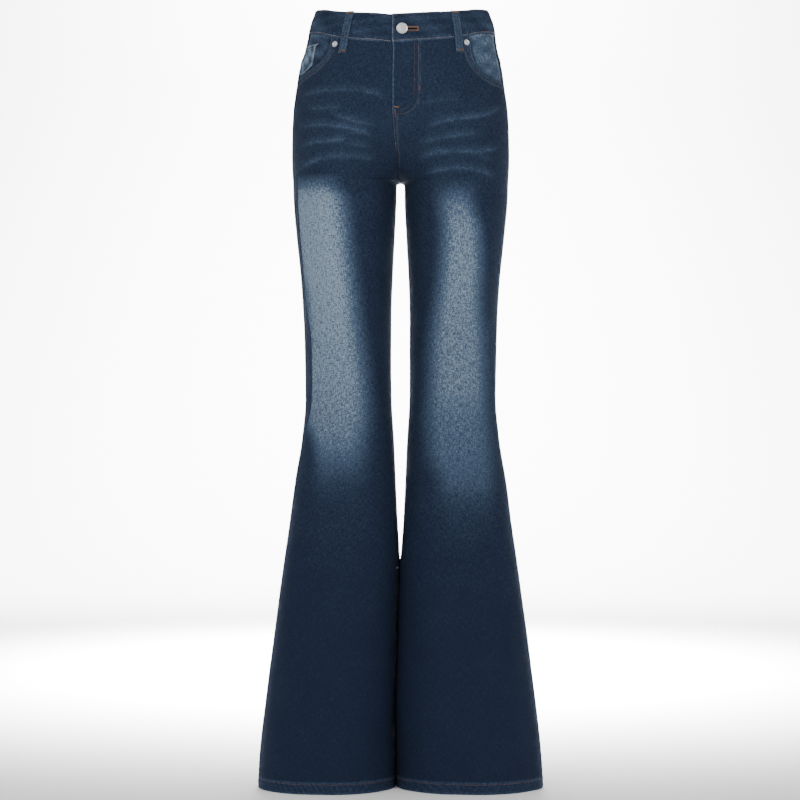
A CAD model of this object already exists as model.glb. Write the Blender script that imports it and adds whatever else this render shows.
"""Flared denim jeans, filled out on a general figure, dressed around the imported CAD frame.

The body tables are in millimetres, as in the part's source, and every mesh is made in metres.
The front faces -Y, +Z is up and the wearer's left leg is on +X.
"""

import math

import bpy
import numpy as np
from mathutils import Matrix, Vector


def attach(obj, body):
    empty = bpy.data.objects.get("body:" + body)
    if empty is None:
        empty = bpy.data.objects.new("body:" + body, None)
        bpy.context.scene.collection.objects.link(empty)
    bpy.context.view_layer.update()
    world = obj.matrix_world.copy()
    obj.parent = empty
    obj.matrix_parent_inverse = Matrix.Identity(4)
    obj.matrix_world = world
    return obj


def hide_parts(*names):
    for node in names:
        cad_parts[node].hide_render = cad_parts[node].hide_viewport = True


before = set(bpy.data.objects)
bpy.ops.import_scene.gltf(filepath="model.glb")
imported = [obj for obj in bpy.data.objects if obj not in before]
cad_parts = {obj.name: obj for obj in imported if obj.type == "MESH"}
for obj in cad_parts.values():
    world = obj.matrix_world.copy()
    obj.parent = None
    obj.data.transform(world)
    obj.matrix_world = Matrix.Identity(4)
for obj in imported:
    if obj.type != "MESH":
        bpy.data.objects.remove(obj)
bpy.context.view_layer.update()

bl_info = {
    "name": "Flared jeans",
    "version": (1, 0, 0),
    "blender": (4, 5, 0),
    "location": "View3D > Sidebar > Jeans",
    "description": "Sews flared denim jeans around their CAD frame",
    "category": "Object",
}

MM = 0.001


# Body tables

def table(columns, *rows):
    """A short table with named columns."""
    return {name: np.array([row[at] for row in rows], float) for at, name in enumerate(columns.split())}


def listed(columns, *rows):
    """Rows with named columns, one by one."""
    return [dict(zip(columns.split(), row)) for row in rows]


def side_name(side):
    return "left" if side > 0 else "right"


CROTCH_Z = -221
CROTCH_Y = 10
RISE_HEIGHT = 78
ARCH_RADIUS = 5.5
HEM_Z = -1078
SEAM_GAP = 0.02
LAYER_GAP = 0.3
BAND_PROUD = 0.6
BAND_THICK = 2.5
STRETCH_FROM_Z = -100
LINE_STEPS = 24
CREASE_SPREAD = 3
YOKE_SEAM = {"side_z": -52, "drop": 35}

# Sections of the hips: half width, how far front and back stand out and where, depths on the centre
# seams, and how far the section is moved sideways.
HIPS = table(
    "z outer front front_x fly back back_x seat sway",
    (40, 116, 85, 14, 86, 82, 16, 82, 3),
    (18, 123.5, 88, 17, 89, 90, 22, 90, 3),
    (0, 130, 90.5, 20, 91.5, 97, 28, 96, 3),
    (-33, 136, 95, 28, 96, 105, 40, 103, 2),
    (-61, 143.5, 99, 37, 99.5, 112, 50, 109, 1),
    (-90, 148, 103, 48, 103, 117, 59, 113, 0.8),
    (-118, 152, 105, 58, 105, 119, 66, 115, 0.8),
    (-150, 154, 105, 67, 105, 117, 72, 114, 0.8),
    (-190, 154.5, 102, 75.5, 104, 108, 77, 112, 0.8),
    (-221, 153, 99, 79, 103, 98, 79.2, 110, 0.8),
    (-246, 152, 97, 78.9, 102, 93, 78.9, 108, 0.8),
)

# Sections of one leg. gap is half the space between the legs, and mid is where its middle lies.
LEGS = table(
    "z outer gap mid front back",
    (-190, 154.5, 5.5, 0, 102, 108),
    (-221, 153, 5.5, 0, 99, 98),
    (-246, 152, 5.7, 0, 97, 93),
    (-302, 147, 8.5, 0, 93, 88),
    (-359, 141, 11.4, 0, 88, 83),
    (-416, 137.7, 12.8, 0, 80, 76),
    (-473, 136, 12.8, 0, 71, 68),
    (-530, 135.4, 12.4, 0, 64, 63),
    (-586, 140, 9.2, 0, 63, 64),
    (-643, 149, 7.1, 0, 66, 67),
    (-700, 156.5, 4.2, 0, 70, 72),
    (-760, 165.5, 1, -0.5, 75, 77),
    (-842, 177, 0.7, -2.5, 80, 82),
    (-956, 191.3, 0.7, -6, 85, 88),
    (-1055, 201, 0.7, -5, 90, 93),
    (-1078, 201.6, 0.7, -4.5, 91, 94),
)

# How far each side seam lies inside the outline, on the front.
SIDE_SEAMS = table(
    "z right left",
    (40, 1, 1),
    (-60, 1.5, 1.5),
    (-150, 4, 4),
    (-221, 8, 8.4),
    (-300, 6, 6.4),
    (-388, 5, 6),
    (-440, 10.5, 11.5),
    (-462, 11, 12),
    (-501, 10.7, 6),
    (-540, 8.8, 1.2),
    (-596, 1.8, 0.6),
    (-640, 0.5, 0.5),
    (-1078, 0.5, 0.5),
)

# The lapped edge of the fly and, below it, the centre seam.
FRONT_SEAM = table(
    "z x",
    (40, -14.2), (-25, -13.6), (-45, -11), (-90, -11.4), (-125, -11.4), (-155, -9.8), (-185, -6.6), (-221, 0),
)

# Top edge of the waistband and the seam below it. round goes from -1 at the centre front, over 0 at the
# side seam, to 1 at the centre back.
WAIST = table(
    "round top seam",
    (-1, 6.8, -34),
    (-0.575, 11.2, -28),
    (-0.385, 15, -21.6),
    (-0.27, 18, -17.2),
    (0, 21.5, -13),
    (1, 25, -12),
)

# Edge of the front pockets: how far out each scoop is at a height.
SCOOPS = table(
    "z right left",
    (-12, 95.5, 96.5),
    (-24, 95.8, 96.8),
    (-37, 98.2, 97.9),
    (-52, 106.2, 100.4),
    (-63, 118.5, 106.4),
    (-71.5, 133.8, 115.4),
    (-79, 146.5, 130.5),
    (-83, 160, 148.5),
)

SCOOP_LEVELS = (-83, -8, 240)

# The largest folds: soft troughs down the flare of each leg.
FOLDS = listed(
    "leg round width top depth",
    ("left", -0.52, 20, -700, 4.5),
    ("left", -0.16, 18, -820, 2.5),
    ("right", -0.42, 22, -800, 3),
    ("right", -0.78, 18, -860, 2),
    ("left", 0.38, 22, -720, 4),
    ("left", 0.74, 20, -800, 3),
    ("right", 0.3, 20, -780, 3),
    ("right", 0.66, 24, -700, 4),
)
FOLDS_END_Z = -1120

# Whiskers across the front: soft ridges that stand out and rub pale. The points run from the wearer's
# right to left, as x and z.
WHISKERS = listed(
    "width rise pale at",
    (1.5, 0.5, 0.21, [(-140, -104), (-104, -100), (-76, -100), (-48, -103), (-19, -110)]),
    (1.5, 0.4, 0.18, [(-132, -121), (-114, -125), (-80, -125)]),
    (1.5, 0.5, 0.21, [(-98, -132), (-80, -139), (-55, -146), (-32, -150)]),
    (1.7, 0.6, 0.29, [(-141, -147), (-112, -148), (-75, -153), (-53, -158), (-37, -165)]),
    (1.3, 0.4, 0.18, [(-72, -160), (-47, -161)]),
    (1.8, 0.7, 0.29, [(-141, -176), (-122, -172), (-98, -171), (-71, -168)]),
    (1.3, 0.4, 0.18, [(-80, -175), (-39, -179)]),
    (2.0, 0.7, 0.27, [(-143, -207), (-122, -199), (-98, -193), (-76, -190)]),
    (1.3, 0.5, 0.21, [(-87, -196), (-71, -193), (-48, -194), (-30, -196)]),
    (2.1, 0.4, 0.1, [(26, -121), (54, -115), (86, -113)]),
    (1.8, 0.7, 0.27, [(37, -151), (71, -142), (98, -138), (122, -132), (144, -118)]),
    (1.5, 0.5, 0.21, [(26, -174), (54, -168), (86, -163), (111, -160)]),
    (1.8, 0.7, 0.29, [(26, -193), (54, -187), (86, -186), (108, -185), (137, -179)]),
    (1.3, 0.4, 0.18, [(104, -190), (130, -197)]),
    (1.8, 0.6, 0.26, [(33, -215), (58, -211), (82, -208), (111, -212), (133, -218)]),
)

# Creases on the back, under the seat and behind the knees, in the same form.
BACK_CREASES = listed(
    "width rise pale at",
    (5, -1.1, 0.06, [(-132, -246), (-96, -232), (-62, -236), (-28, -252)]),
    (4, -0.8, 0.05, [(-118, -268), (-84, -262), (-46, -274)]),
    (5, -1.0, 0.05, [(-118, -540), (-84, -548), (-40, -541)]),
    (6, -1.3, 0.05, [(-112, -571), (-76, -566), (-34, -574)]),
    (4, -0.7, 0.04, [(-122, -602), (-90, -596), (-58, -599)]),
    (5, -1.2, 0.06, [(24, -249), (58, -234), (98, -230), (136, -243)]),
    (4, -0.7, 0.05, [(52, -273), (88, -263), (122, -270)]),
    (5, -0.9, 0.05, [(44, -536), (80, -543), (112, -538)]),
    (6, -1.3, 0.05, [(36, -566), (74, -570), (118, -563)]),
    (4, -0.8, 0.04, [(60, -594), (96, -600), (124, -596)]),
)

# Where the fronts are rubbed pale, leg by leg: from and to are where the pale part is half as strong as at
# its middle, and strong is how pale its middle is.
FADE_RIGHT = table(
    "z from to strong",
    (-214, -146, -98, 0),
    (-232, -148, -93, 0.55),
    (-248, -148, -83, 0.92),
    (-273, -146, -79, 1),
    (-336, -139, -72, 1),
    (-391, -130, -65, 0.96),
    (-447, -127, -58, 0.86),
    (-502, -131, -50, 0.8),
    (-557, -131, -47, 0.67),
    (-585, -122, -50, 0.57),
    (-606, -118, -51, 0.42),
    (-627, -117, -53, 0.23),
    (-655, -117, -54, 0.05),
    (-700, -117, -54, 0),
)
FADE_LEFT = table(
    "z from to strong",
    (-218, 58, 102, 0),
    (-232, 57, 102, 0.12),
    (-246, 57, 99, 0.42),
    (-259, 57, 100, 0.6),
    (-294, 62, 110, 0.77),
    (-336, 60, 112, 0.8),
    (-391, 53, 111, 0.76),
    (-447, 45, 117, 0.7),
    (-502, 43, 119, 0.66),
    (-557, 39, 123, 0.49),
    (-606, 43, 127, 0.41),
    (-648, 57, 130, 0.28),
    (-669, 58, 130, 0.14),
    (-697, 58, 130, 0.04),
    (-740, 58, 130, 0),
)
FADE_SOFT = {"right": (22, 46), "left": (38, 32)}


# The smooth body, worked out for whole arrays of places at once

def look(rows, key, column, at):
    """Reads a table's column along a smooth curve that never swings past its rows."""
    keys, values = rows[key], rows[column]
    if keys[0] > keys[-1]:
        keys, values = keys[::-1], values[::-1]
    at = np.clip(np.asarray(at, float), keys[0], keys[-1])
    widths = np.diff(keys)
    slopes = np.diff(values) / widths
    product = slopes[:-1] * slopes[1:]
    total = slopes[:-1] + slopes[1:]
    inner = np.where(product > 0, 2 * product / np.where(total == 0, 1, total), 0)
    tangents = np.concatenate([slopes[:1], inner, slopes[-1:]])
    row = np.clip(np.searchsorted(keys, at, side="right") - 1, 0, len(widths) - 1)
    part = (at - keys[row]) / widths[row]
    curve = part * part * (3 - 2 * part)
    pull = (1 - part) * tangents[row] - part * tangents[row + 1]
    return values[row] + (values[row + 1] - values[row]) * curve + widths[row] * part * (1 - part) * pull


def ease(value, low, high):
    """Goes smoothly from 0 at low to 1 at high."""
    part = np.clip((value - low) / (high - low), 0, 1)
    return part * part * (3 - 2 * part)


def bump(distance, width):
    return np.exp(-((distance / width) ** 2))


def between(value, start, full, fading, end):
    """1 from full to fading, and 0 before start and past end."""
    return ease(value, start, full) * (1 - ease(value, fading, end))


def sway(z):
    return look(HIPS, "z", "sway", z)


def inner_edge(side, front, z):
    """Where the inner edge of a half lies: the centre seam above the crotch, the inseam below it."""
    turn = np.arccos(np.clip(1 - (z - CROTCH_Z) / RISE_HEIGHT, 0, 1))
    reach = -look(HIPS, "z", "fly", z) if front else look(HIPS, "z", "seat", z)
    seam = look(FRONT_SEAM, "z", "x", z) if front else 0
    arch = np.clip((CROTCH_Z - z) / ARCH_RADIUS, 0, 1)
    gap = look(LEGS, "z", "gap", z) * np.sqrt(1 - (1 - arch) ** 2)
    above = z >= CROTCH_Z
    inseam = np.maximum(gap, SEAM_GAP / 2) + side * look(LEGS, "z", "mid", z)
    x = np.where(above, seam * side + SEAM_GAP / 2, inseam)
    y = np.where(above, CROTCH_Y + (reach - CROTCH_Y) * np.sin(turn), CROTCH_Y)
    return x, y


def inner_quarter(middle, depth, inner_x, inner_y):
    """The stretch from the thigh's or seat's middle to the inner edge, dipping towards the crotch."""
    along = np.sin(np.pi / 2 * np.arange(LINE_STEPS + 1) / LINE_STEPS)
    full = CROTCH_Y - depth
    dip = (inner_y - depth) / full
    sunk = np.clip(dip, 0, 1)[:, None]
    rounded = 1 - np.sqrt(np.maximum(0, 1 - along * along))
    hold = 1 - (1 - sunk) ** (1 + CREASE_SPREAD * (1 - along))
    fall = (along * along + (rounded - along * along) * np.sqrt(sunk)) * hold
    fall = fall + np.minimum(dip, 0)[:, None] * along * along
    return middle[:, None] + (inner_x - middle)[:, None] * along, depth[:, None] + full[:, None] * fall


def running(x, y):
    steps = np.hypot(np.diff(x, axis=1), np.diff(y, axis=1))
    return np.concatenate([np.zeros((len(x), 1)), np.cumsum(steps, axis=1)], axis=1)


def level_line(side, front, z):
    """Level lines of the front or back of a half, from the side seam to the inner edge: x, y and how far
    along each point is, with the inner stretch spread over its nominal length."""
    hips = z >= CROTCH_Z

    def section(column):
        return np.where(hips, look(HIPS, "z", column, z), look(LEGS, "z", column, z))

    outer = section("outer")
    front_depth = -section("front")
    depth = front_depth if front else section("back")
    leg_middle = (outer + look(LEGS, "z", "gap", z) + side * look(LEGS, "z", "mid", z)) / 2
    front_middle = np.where(hips, look(HIPS, "z", "front_x", z), leg_middle)
    middle = front_middle if front else np.where(hips, look(HIPS, "z", "back_x", z), leg_middle)
    inset = np.where(side > 0, look(SIDE_SEAMS, "z", "left", z), look(SIDE_SEAMS, "z", "right", z))
    seam_turn = np.arccos(1 - inset / (outer - front_middle))
    start = (seam_turn if front else -seam_turn)[:, None]
    turn = start + (np.pi / 2 - start) * np.arange(LINE_STEPS + 1) / LINE_STEPS
    ahead = np.logical_or(front, turn < 0)
    centre = np.where(ahead, front_middle[:, None], middle[:, None])
    reach = np.where(ahead, front_depth[:, None], depth[:, None])
    outer_x = centre + (outer[:, None] - centre) * np.cos(turn)
    outer_y = reach * np.abs(np.sin(turn))
    inner_x, inner_y = inner_quarter(middle, depth, *inner_edge(side, front, z))
    outer_run, inner_run = running(outer_x, outer_y), running(inner_x, inner_y)
    eased = ease(-z, -STRETCH_FROM_Z, -CROTCH_Z)
    straight = middle - inner_edge(side, front, z)[0]
    spread = straight + (crotch_length(side, front) - straight) * eased
    nominal = np.where(hips, spread, inner_run[:, -1])
    inner_run = inner_run / inner_run[:, -1:] * nominal[:, None] + outer_run[:, -1:]
    return (
        np.concatenate([outer_x, inner_x[:, 1:]], axis=1),
        np.concatenate([outer_y, inner_y[:, 1:]], axis=1),
        np.concatenate([outer_run, inner_run[:, 1:]], axis=1),
    )


CROTCH_LENGTHS = {}


def crotch_length(side, front):
    """The inner stretch's length at the crotch itself, for each half."""
    if front not in CROTCH_LENGTHS:
        halves = np.array([-1.0, 1.0])
        z = np.full(2, float(CROTCH_Z))
        depth = look(HIPS, "z", "front" if front else "back", z) * (-1 if front else 1)
        middle = look(HIPS, "z", "front_x" if front else "back_x", z)
        x, y = inner_quarter(middle, depth, *inner_edge(halves, front, z))
        CROTCH_LENGTHS[front] = running(x, y)[:, -1]
    right, left = CROTCH_LENGTHS[front]
    return np.where(side > 0, left, right)


def line_length(side, front, z):
    side, z = np.broadcast_arrays(np.asarray(side, float), np.asarray(z, float))
    return level_line(side.ravel(), front, z.ravel())[2][:, -1].reshape(z.shape)


def on_line(side, front, share, z):
    """The points at shares of level lines."""
    x, y, run = level_line(side, front, z)
    target = share * run[:, -1]
    index = np.clip((run < target[:, None]).sum(axis=1), 1, run.shape[1] - 1)
    rows = np.arange(len(z))
    part = (target - run[rows, index - 1]) / (run[rows, index] - run[rows, index - 1])
    before, after = (rows, index - 1), (rows, index)
    return np.stack([a[before] + (a[after] - a[before]) * part for a in (x, y)], axis=1)


def smooth_point(side, turn, z):
    """Places on the smooth body. Below the crotch a turn past the inseam goes on round the leg."""
    turn = np.where((z < CROTCH_Z) & (np.abs(turn) > 1), turn - 2 * np.sign(turn), turn)
    flat = np.empty((len(z), 2))
    for front in (True, False):
        chosen = (turn < 0) == front
        if chosen.any():
            share = np.clip(np.abs(turn[chosen]), 0, 1)
            flat[chosen] = on_line(side[chosen], front, share, z[chosen])
    return np.stack([side * flat[:, 0] + sway(z), flat[:, 1], z], axis=1)


NUDGE = 2

# Low down, where the legs nearly touch, both lean the same way so that no light shows between them. reach
# is how far out from the middle that goes, and turn how quickly it changes over from front to back.
LEG_LEAN = {"by": 2.2, "turn": 6, "reach": 14, "from_z": -740, "full_z": -765}


def unit(vectors):
    return vectors / np.linalg.norm(vectors, axis=-1, keepdims=True)


def smooth_normal(side, turn, z):
    """The direction out of the smooth body. On the centre seams it follows the rise's curve."""
    length = np.where(turn < 0, line_length(side, True, z), line_length(side, False, z))
    share = NUDGE / length
    above = z >= CROTCH_Z
    later = np.where(above, np.clip(turn + share, -1, 1), turn + share)
    sooner = np.where(above, np.clip(turn - share, -1, 1), turn - share)
    across = smooth_point(side, later, z) - smooth_point(side, sooner, z)
    up = smooth_point(side, turn, z + NUDGE / 2) - smooth_point(side, turn, z - NUDGE / 2)
    normal = unit(np.cross(across, up)) * side[:, None]
    on_seam = above & (np.abs(turn) > 1 - share / 4)
    rise = np.arccos(np.clip(1 - (z - CROTCH_Z) / RISE_HEIGHT, -1, 1))
    reach = np.where(turn < 0, -look(HIPS, "z", "fly", z), look(HIPS, "z", "seat", z)) - CROTCH_Y
    back, down = RISE_HEIGHT * np.sin(rise) * np.sign(turn), -np.abs(reach) * np.cos(rise)
    curved = np.stack([0 * z, back, down], axis=1)
    seam_normal = np.where((z < CROTCH_Z + RISE_HEIGHT)[:, None], curved, normal * [0, 1, 1])
    normal[on_seam] = unit(seam_normal[on_seam])
    return normal


def fold_depth(side, turn, z):
    depth = np.zeros(len(z))
    for fold in FOLDS:
        leg = 1 if fold["leg"] == "left" else -1
        chosen = (side == leg) & (z < fold["top"])
        if not chosen.any():
            continue
        length = line_length(side[chosen], fold["round"] < 0, z[chosen])
        away = (turn[chosen] - fold["round"]) * length / fold["width"]
        grown = (fold["top"] - z[chosen]) / (fold["top"] - FOLDS_END_Z)
        depth[chosen] += fold["depth"] * grown * np.exp(-away * away)
    return depth


def cloth(side, turn, z, out=0.0):
    """Places on the cloth's outer face moved out by a distance, and the directions out, for any shape of
    arrays."""
    side, turn, z, out = np.broadcast_arrays(*(np.asarray(a, float) for a in (side, turn, z, out)))
    shape = z.shape
    side, turn, z, out = (a.ravel() for a in (side, turn, z, out))
    normal = smooth_normal(side, turn, z)
    points = smooth_point(side, turn, z) + normal * (out - fold_depth(side, turn, z))[:, None]
    low_down = ease(-z, -LEG_LEAN["from_z"], -LEG_LEAN["full_z"])
    over = np.tanh((points[:, 1] - CROTCH_Y) / LEG_LEAN["turn"])
    points[:, 0] += LEG_LEAN["by"] * over * bump(points[:, 0], LEG_LEAN["reach"]) * low_down
    return points.reshape(*shape, 3), normal.reshape(*shape, 3)


def waist_top(turn):
    return look(WAIST, "round", "top", turn)


def waist_seam(turn):
    return look(WAIST, "round", "seam", turn)


def yoke_seam(turn):
    return YOKE_SEAM["side_z"] - YOKE_SEAM["drop"] * turn


def turn_at_x(front, x, z):
    """The side and turn of places given by how far across they are, on the front or back."""
    x, z = (np.asarray(a, float).ravel() for a in np.broadcast_arrays(x, z))
    seam = look(FRONT_SEAM, "z", "x", z) if front else 0 * z
    side = np.where(x - sway(z) >= seam, 1.0, -1.0)
    line_x, _, run = level_line(side, front, z)
    wanted = side * (x - sway(z))
    share = np.array([np.interp(-w, -lx, r / r[-1]) for w, lx, r in zip(wanted, line_x, run)])
    return side, -share if front else share


# How the cloth's face is worked: creases, turned edges, hems and rubbed places. Each function gives how
# far the face stands out, in millimetres, and how pale it is rubbed, from 0 to 1.

HEM_TALL = 16
HEM_STITCH = 13.5
POCKET_ZONE_Z = -113
YOKE_ZONE_Z = -122
FLY_STITCH = {"x": 25.6, "inner_x": 20, "bend_z": -106, "end_z": -134, "inner_end_z": -128}
EDGE_STITCH = 1.5
SECOND_STITCH = 8.5
FELL_STITCH = 6.0
FELL_WIDE = 7
SEAM_RIPPLE = 8.5
CREASE_BESIDE = {"above": 2.4, "width": 5.2, "strong": 0.5}
BASE_WEAR = {"pale": 0.065, "from_z": -880, "full_z": -560}


def together(first, second):
    """Joins two pale masks without going past white."""
    return 1 - (1 - np.clip(first, 0, 1)) * (1 - np.clip(second, 0, 1))


def pucker(along, pitch, turn=0.0):
    """An uneven ripple along a seam."""
    return np.sin(2 * np.pi * along / pitch + 1.9 * np.sin(along / (pitch * 2.3) + turn) + turn)


def drape(side, along, z):
    """The cloth's slow, uneven waves."""
    slow = 0.32 * np.sin(z / 53 + side * 1.7) * np.sin(along / 37 + side)
    quick = 0.16 * np.sin(z / 23 + along / 41 + side * 0.8) * np.sin(z / 61 - along / 29)
    return (slow + quick) * ease(-z, 60, 150)


def crease_lines(rows, x, z):
    """Ridges or troughs along lines across the cloth, each with a softer one beside it."""
    rise, pale = np.zeros(z.shape), np.zeros(z.shape)
    for row in rows:
        places = table("x z", *row["at"])
        low, high = places["x"][0], places["x"][-1]
        away = z - look(places, "x", "z", x)
        ends = between(x, low - 4, low + 16, high - 16, high + 4)
        uneven = 0.78 + 0.22 * np.sin(x / 7.5 + row["width"] * 9) * np.sin(x / 17 + low)
        beside = bump(away - CREASE_BESIDE["above"], CREASE_BESIDE["width"])
        line = (0.62 * bump(away, row["width"]) + CREASE_BESIDE["strong"] * beside) * ends * uneven
        rise += row["rise"] * line
        pale = together(pale, row["pale"] * line)
    return rise, pale


def side_seam(along, z, side):
    """Both panels lie raised beside the side seam, and are rubbed where they do."""
    raised = between(along, 0.5, 1.8, 6, 9)
    ripple = pucker(z, 9.5, side)
    rise = 0.3 * raised * (1 + 0.5 * ripple) - 0.55 * bump(along, 0.8)
    pale = 0.2 * bump(along - 1.8, 1.3) * (0.75 + 0.25 * ripple) + 0.08 * bump(along - 7.5, 1.5)
    return rise, pale


def hem(along, z, side):
    """The hem is turned up and stitched, which ropes it."""
    height = z - HEM_Z
    turned = 1 - ease(height, HEM_TALL - 1, HEM_TALL + 1)
    rope = pucker(along + height * 0.7, 8, side)
    rise = turned * (0.45 + 0.14 * rope) - 0.4 * bump(height - HEM_STITCH, 0.9) - 0.6 * bump(height, 1)
    pale = 0.3 * bump(height - 0.8, 1.1) + turned * (0.05 + 0.1 * np.clip(rope, 0, 1))
    return rise, pale + 0.16 * bump(height - HEM_TALL, 1.2)


def rubbed(side, x, z):
    """The pale part down each front."""
    pale = np.zeros(z.shape)
    for leg, name, rows in ((-1, "right", FADE_RIGHT), (1, "left", FADE_LEFT)):
        start, end = look(rows, "z", "from", z), look(rows, "z", "to", z)
        before, after = FADE_SOFT[name]
        part = between(x, start - before / 2, start + before / 2, end - after / 2, end + after / 2)
        pale = np.where(side == leg, look(rows, "z", "strong", z) * part, pale)
    return pale


def scoop_line(side):
    """A front pocket's edge, from the side seam to the waist seam: shares of the level lines, heights and
    how far along those lines the edge lies."""
    z = np.linspace(*SCOOP_LEVELS)
    out = look(SCOOPS, "z", side_name(side), z)
    _, turn = turn_at_x(True, side * out, z)
    share = -turn
    inside = (share > 0.0005) & (z < waist_seam(-share) - SEAM_GAP / 2)
    share, z = share[inside], z[inside]
    share[0] = 0
    return share, z, share * line_length(np.full(len(z), side), True, z)


def from_line(line_along, line_z, along, z, reach):
    """How far places are from a line, both laid out flat, for the places above reach."""
    distance = np.full(z.shape, 1e3)
    near = z > reach
    gaps = np.hypot(along[near][:, None] - line_along[None, ::3], z[near][:, None] - line_z[None, ::3])
    distance[near] = gaps.min(axis=1)
    return distance


def worn_patch(x, z, pale, middle, tall, out, wide):
    """A patch rubbed pale on both sides: how high and how far out its middle is, and how tall and wide."""
    return pale * bump(z - middle, tall) * bump(np.abs(x) - out, wide)


def base_wear(z):
    """The whole cloth is a little worn, less towards the hem."""
    return BASE_WEAR["pale"] * ease(z, BASE_WEAR["from_z"], BASE_WEAR["full_z"])


def on_fell(away):
    """The raised strip beside a felled seam, 1 on it and 0 past it."""
    return 1 - ease(away, FELL_WIDE - 0.5, FELL_WIDE + 1.2)


def with_edges(rise, pale, along, z, side):
    """Adds the side seam and the hem."""
    for part_rise, part_pale in (side_seam(along, z, side), hem(along, z, side)):
        rise, pale = rise + part_rise, together(pale, part_pale)
    return rise, pale


def front_face(side, share, z):
    """A front panel's face."""
    side, share, z = np.broadcast_arrays(*(np.asarray(a, float) for a in (side, share, z)))
    points, normals = cloth(side, -share, z)
    x = points[..., 0]
    length = line_length(side, True, z)
    along, inner = share * length, (1 - share) * length
    rise, pale = crease_lines(WHISKERS, x, z)
    rise = rise + drape(side, along, z)
    lap = worn_patch(x, z, pale=0.02, middle=-165, tall=55, out=80, wide=60)
    thigh = between(z, -600, -480, -240, -215)
    flare_edge = ease(-z, 600, 700) * bump(along - 13, 11)
    worn = lap + base_wear(z) + 0.1 * thigh * bump(inner, 34) + 0.09 * flare_edge
    pale = together(pale, worn)
    pale = together(pale, rubbed(side, x, z))
    rise, pale = with_edges(rise, pale, along, z, side)
    for leg in (-1.0, 1.0):
        chosen = (side == leg) & (z > POCKET_ZONE_Z)
        if not chosen.any():
            continue
        _, line_z, line_along = scoop_line(leg)
        away = from_line(line_along, line_z, along[chosen], z[chosen], POCKET_ZONE_Z)
        ripple = pucker(along[chosen] + z[chosen], 7, leg)
        turned = 1 - ease(away, SECOND_STITCH + 0.8, SECOND_STITCH + 3)
        rise[chosen] += 0.4 * turned * (1 + 0.2 * ripple) - 0.5 * bump(away, 0.8)
        rise[chosen] -= 0.3 * (bump(away - EDGE_STITCH, 0.8) + bump(away - SECOND_STITCH, 0.8))
        edge = 0.36 * bump(away - 0.4, 0.8) + 0.26 * bump(away - 4.6, 2) * (0.8 + 0.2 * ripple)
        pale[chosen] = together(pale[chosen], edge + 0.2 * bump(away - SECOND_STITCH - 1.6, 1.1))
    fly_rise, fly_pale = fly_front(side, x, z, inner)
    return points + normals * (rise + fly_rise)[..., None], normals, together(pale, fly_pale)


def fly_edge(z, x_name="x", end_name="end_z"):
    """How far the fly's curved stitching reaches across at a height."""
    bend, end, wide = FLY_STITCH["bend_z"], FLY_STITCH[end_name], FLY_STITCH[x_name]
    part = np.clip((bend - z) / (bend - end), 0, 1)
    return wide * np.sqrt(1 - part * part)


def fly_front(side, x, z, inner):
    """The wearer's left front laps over the right one down the fly, and its seam is felled below it."""
    open_part = ease(z, FLY_STITCH["end_z"] - 2, FLY_STITCH["end_z"] + 2)
    seam_part = (1 - open_part) * ease(z, CROTCH_Z - 1, CROTCH_Z + 4)
    left = side > 0
    ripple = pucker(z, SEAM_RIPPLE, 0.6)
    lapped = left * open_part
    edge = fly_edge(z)
    rise = lapped * (0.3 * (1 - ease(x, edge - 0.5, edge + 1.6)) + 0.55 * (1 - ease(inner, 2, 6)))
    rise = rise - lapped * 0.25 * (bump(x - edge, 0.8) + bump(x - fly_edge(z, "inner_x", "inner_end_z"), 0.8))
    rise = rise - (side < 0) * open_part * 0.5 * (1 - ease(inner, 0, 4)) - 0.35 * lapped * bump(inner, 0.7)
    felled = left * seam_part * on_fell(inner)
    rise = rise + 0.45 * felled * (1 + 0.25 * ripple) - seam_part * 0.5 * bump(inner, 0.8)
    below = 1 - ease(z, CROTCH_Z - 6, CROTCH_Z)
    rise = rise - below * 0.55 * bump(inner, 0.9)
    pale = lapped * (0.5 * bump(inner - 0.7, 0.8) + 0.18 * bump(x - edge - 1.5, 1.2))
    seam_pale = 0.3 * bump(inner - 0.8, 1.1) * (0.8 + 0.2 * ripple) + 0.14 * bump(inner - 8, 1.4)
    pale = pale + left * seam_part * seam_pale
    return rise, pale + 0.12 * below * bump(inner - 1.6, 1.6)


def back_face(side, share, z):
    """A back panel's or yoke's face."""
    side, share, z = np.broadcast_arrays(*(np.asarray(a, float) for a in (side, share, z)))
    points, normals = cloth(side, share, z)
    x = points[..., 0]
    length = line_length(side, False, z)
    along, inner = share * length, (1 - share) * length
    rise, pale = crease_lines(BACK_CREASES, x, z)
    rise = rise + drape(-side, along, z)
    seat = worn_patch(x, z, pale=0.34, middle=-165, tall=62, out=74, wide=44)
    thigh = worn_patch(x, z, pale=0.2, middle=-380, tall=120, out=80, wide=34)
    pale = together(together(pale, seat), thigh + base_wear(z))
    rise, pale = with_edges(rise, pale, along, z, side)
    above = ease(z, CROTCH_Z - 2, CROTCH_Z + 4)
    ripple = pucker(z, SEAM_RIPPLE, 0.9)
    felled = (side > 0) * above * on_fell(inner)
    rise = rise + 0.45 * felled * (1 + 0.25 * ripple) - 0.5 * bump(inner, 0.8)
    seam_pale = above * 0.24 * bump(inner - 0.9, 1.2) + (side > 0) * above * 0.12 * bump(inner - 8, 1.4)
    pale = together(pale, seam_pale)
    gap = z - yoke_seam(share)
    on_yoke = (gap > 0) * on_fell(gap)
    rise = rise + 0.4 * on_yoke * (1 + 0.2 * pucker(along, 8, side)) - 0.5 * bump(gap, 0.8)
    pale = together(pale, 0.22 * bump(gap - 0.9, 1.2) + 0.1 * bump(gap - 8, 1.4))
    return points + normals * rise[..., None], normals, pale


# Meshes

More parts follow.
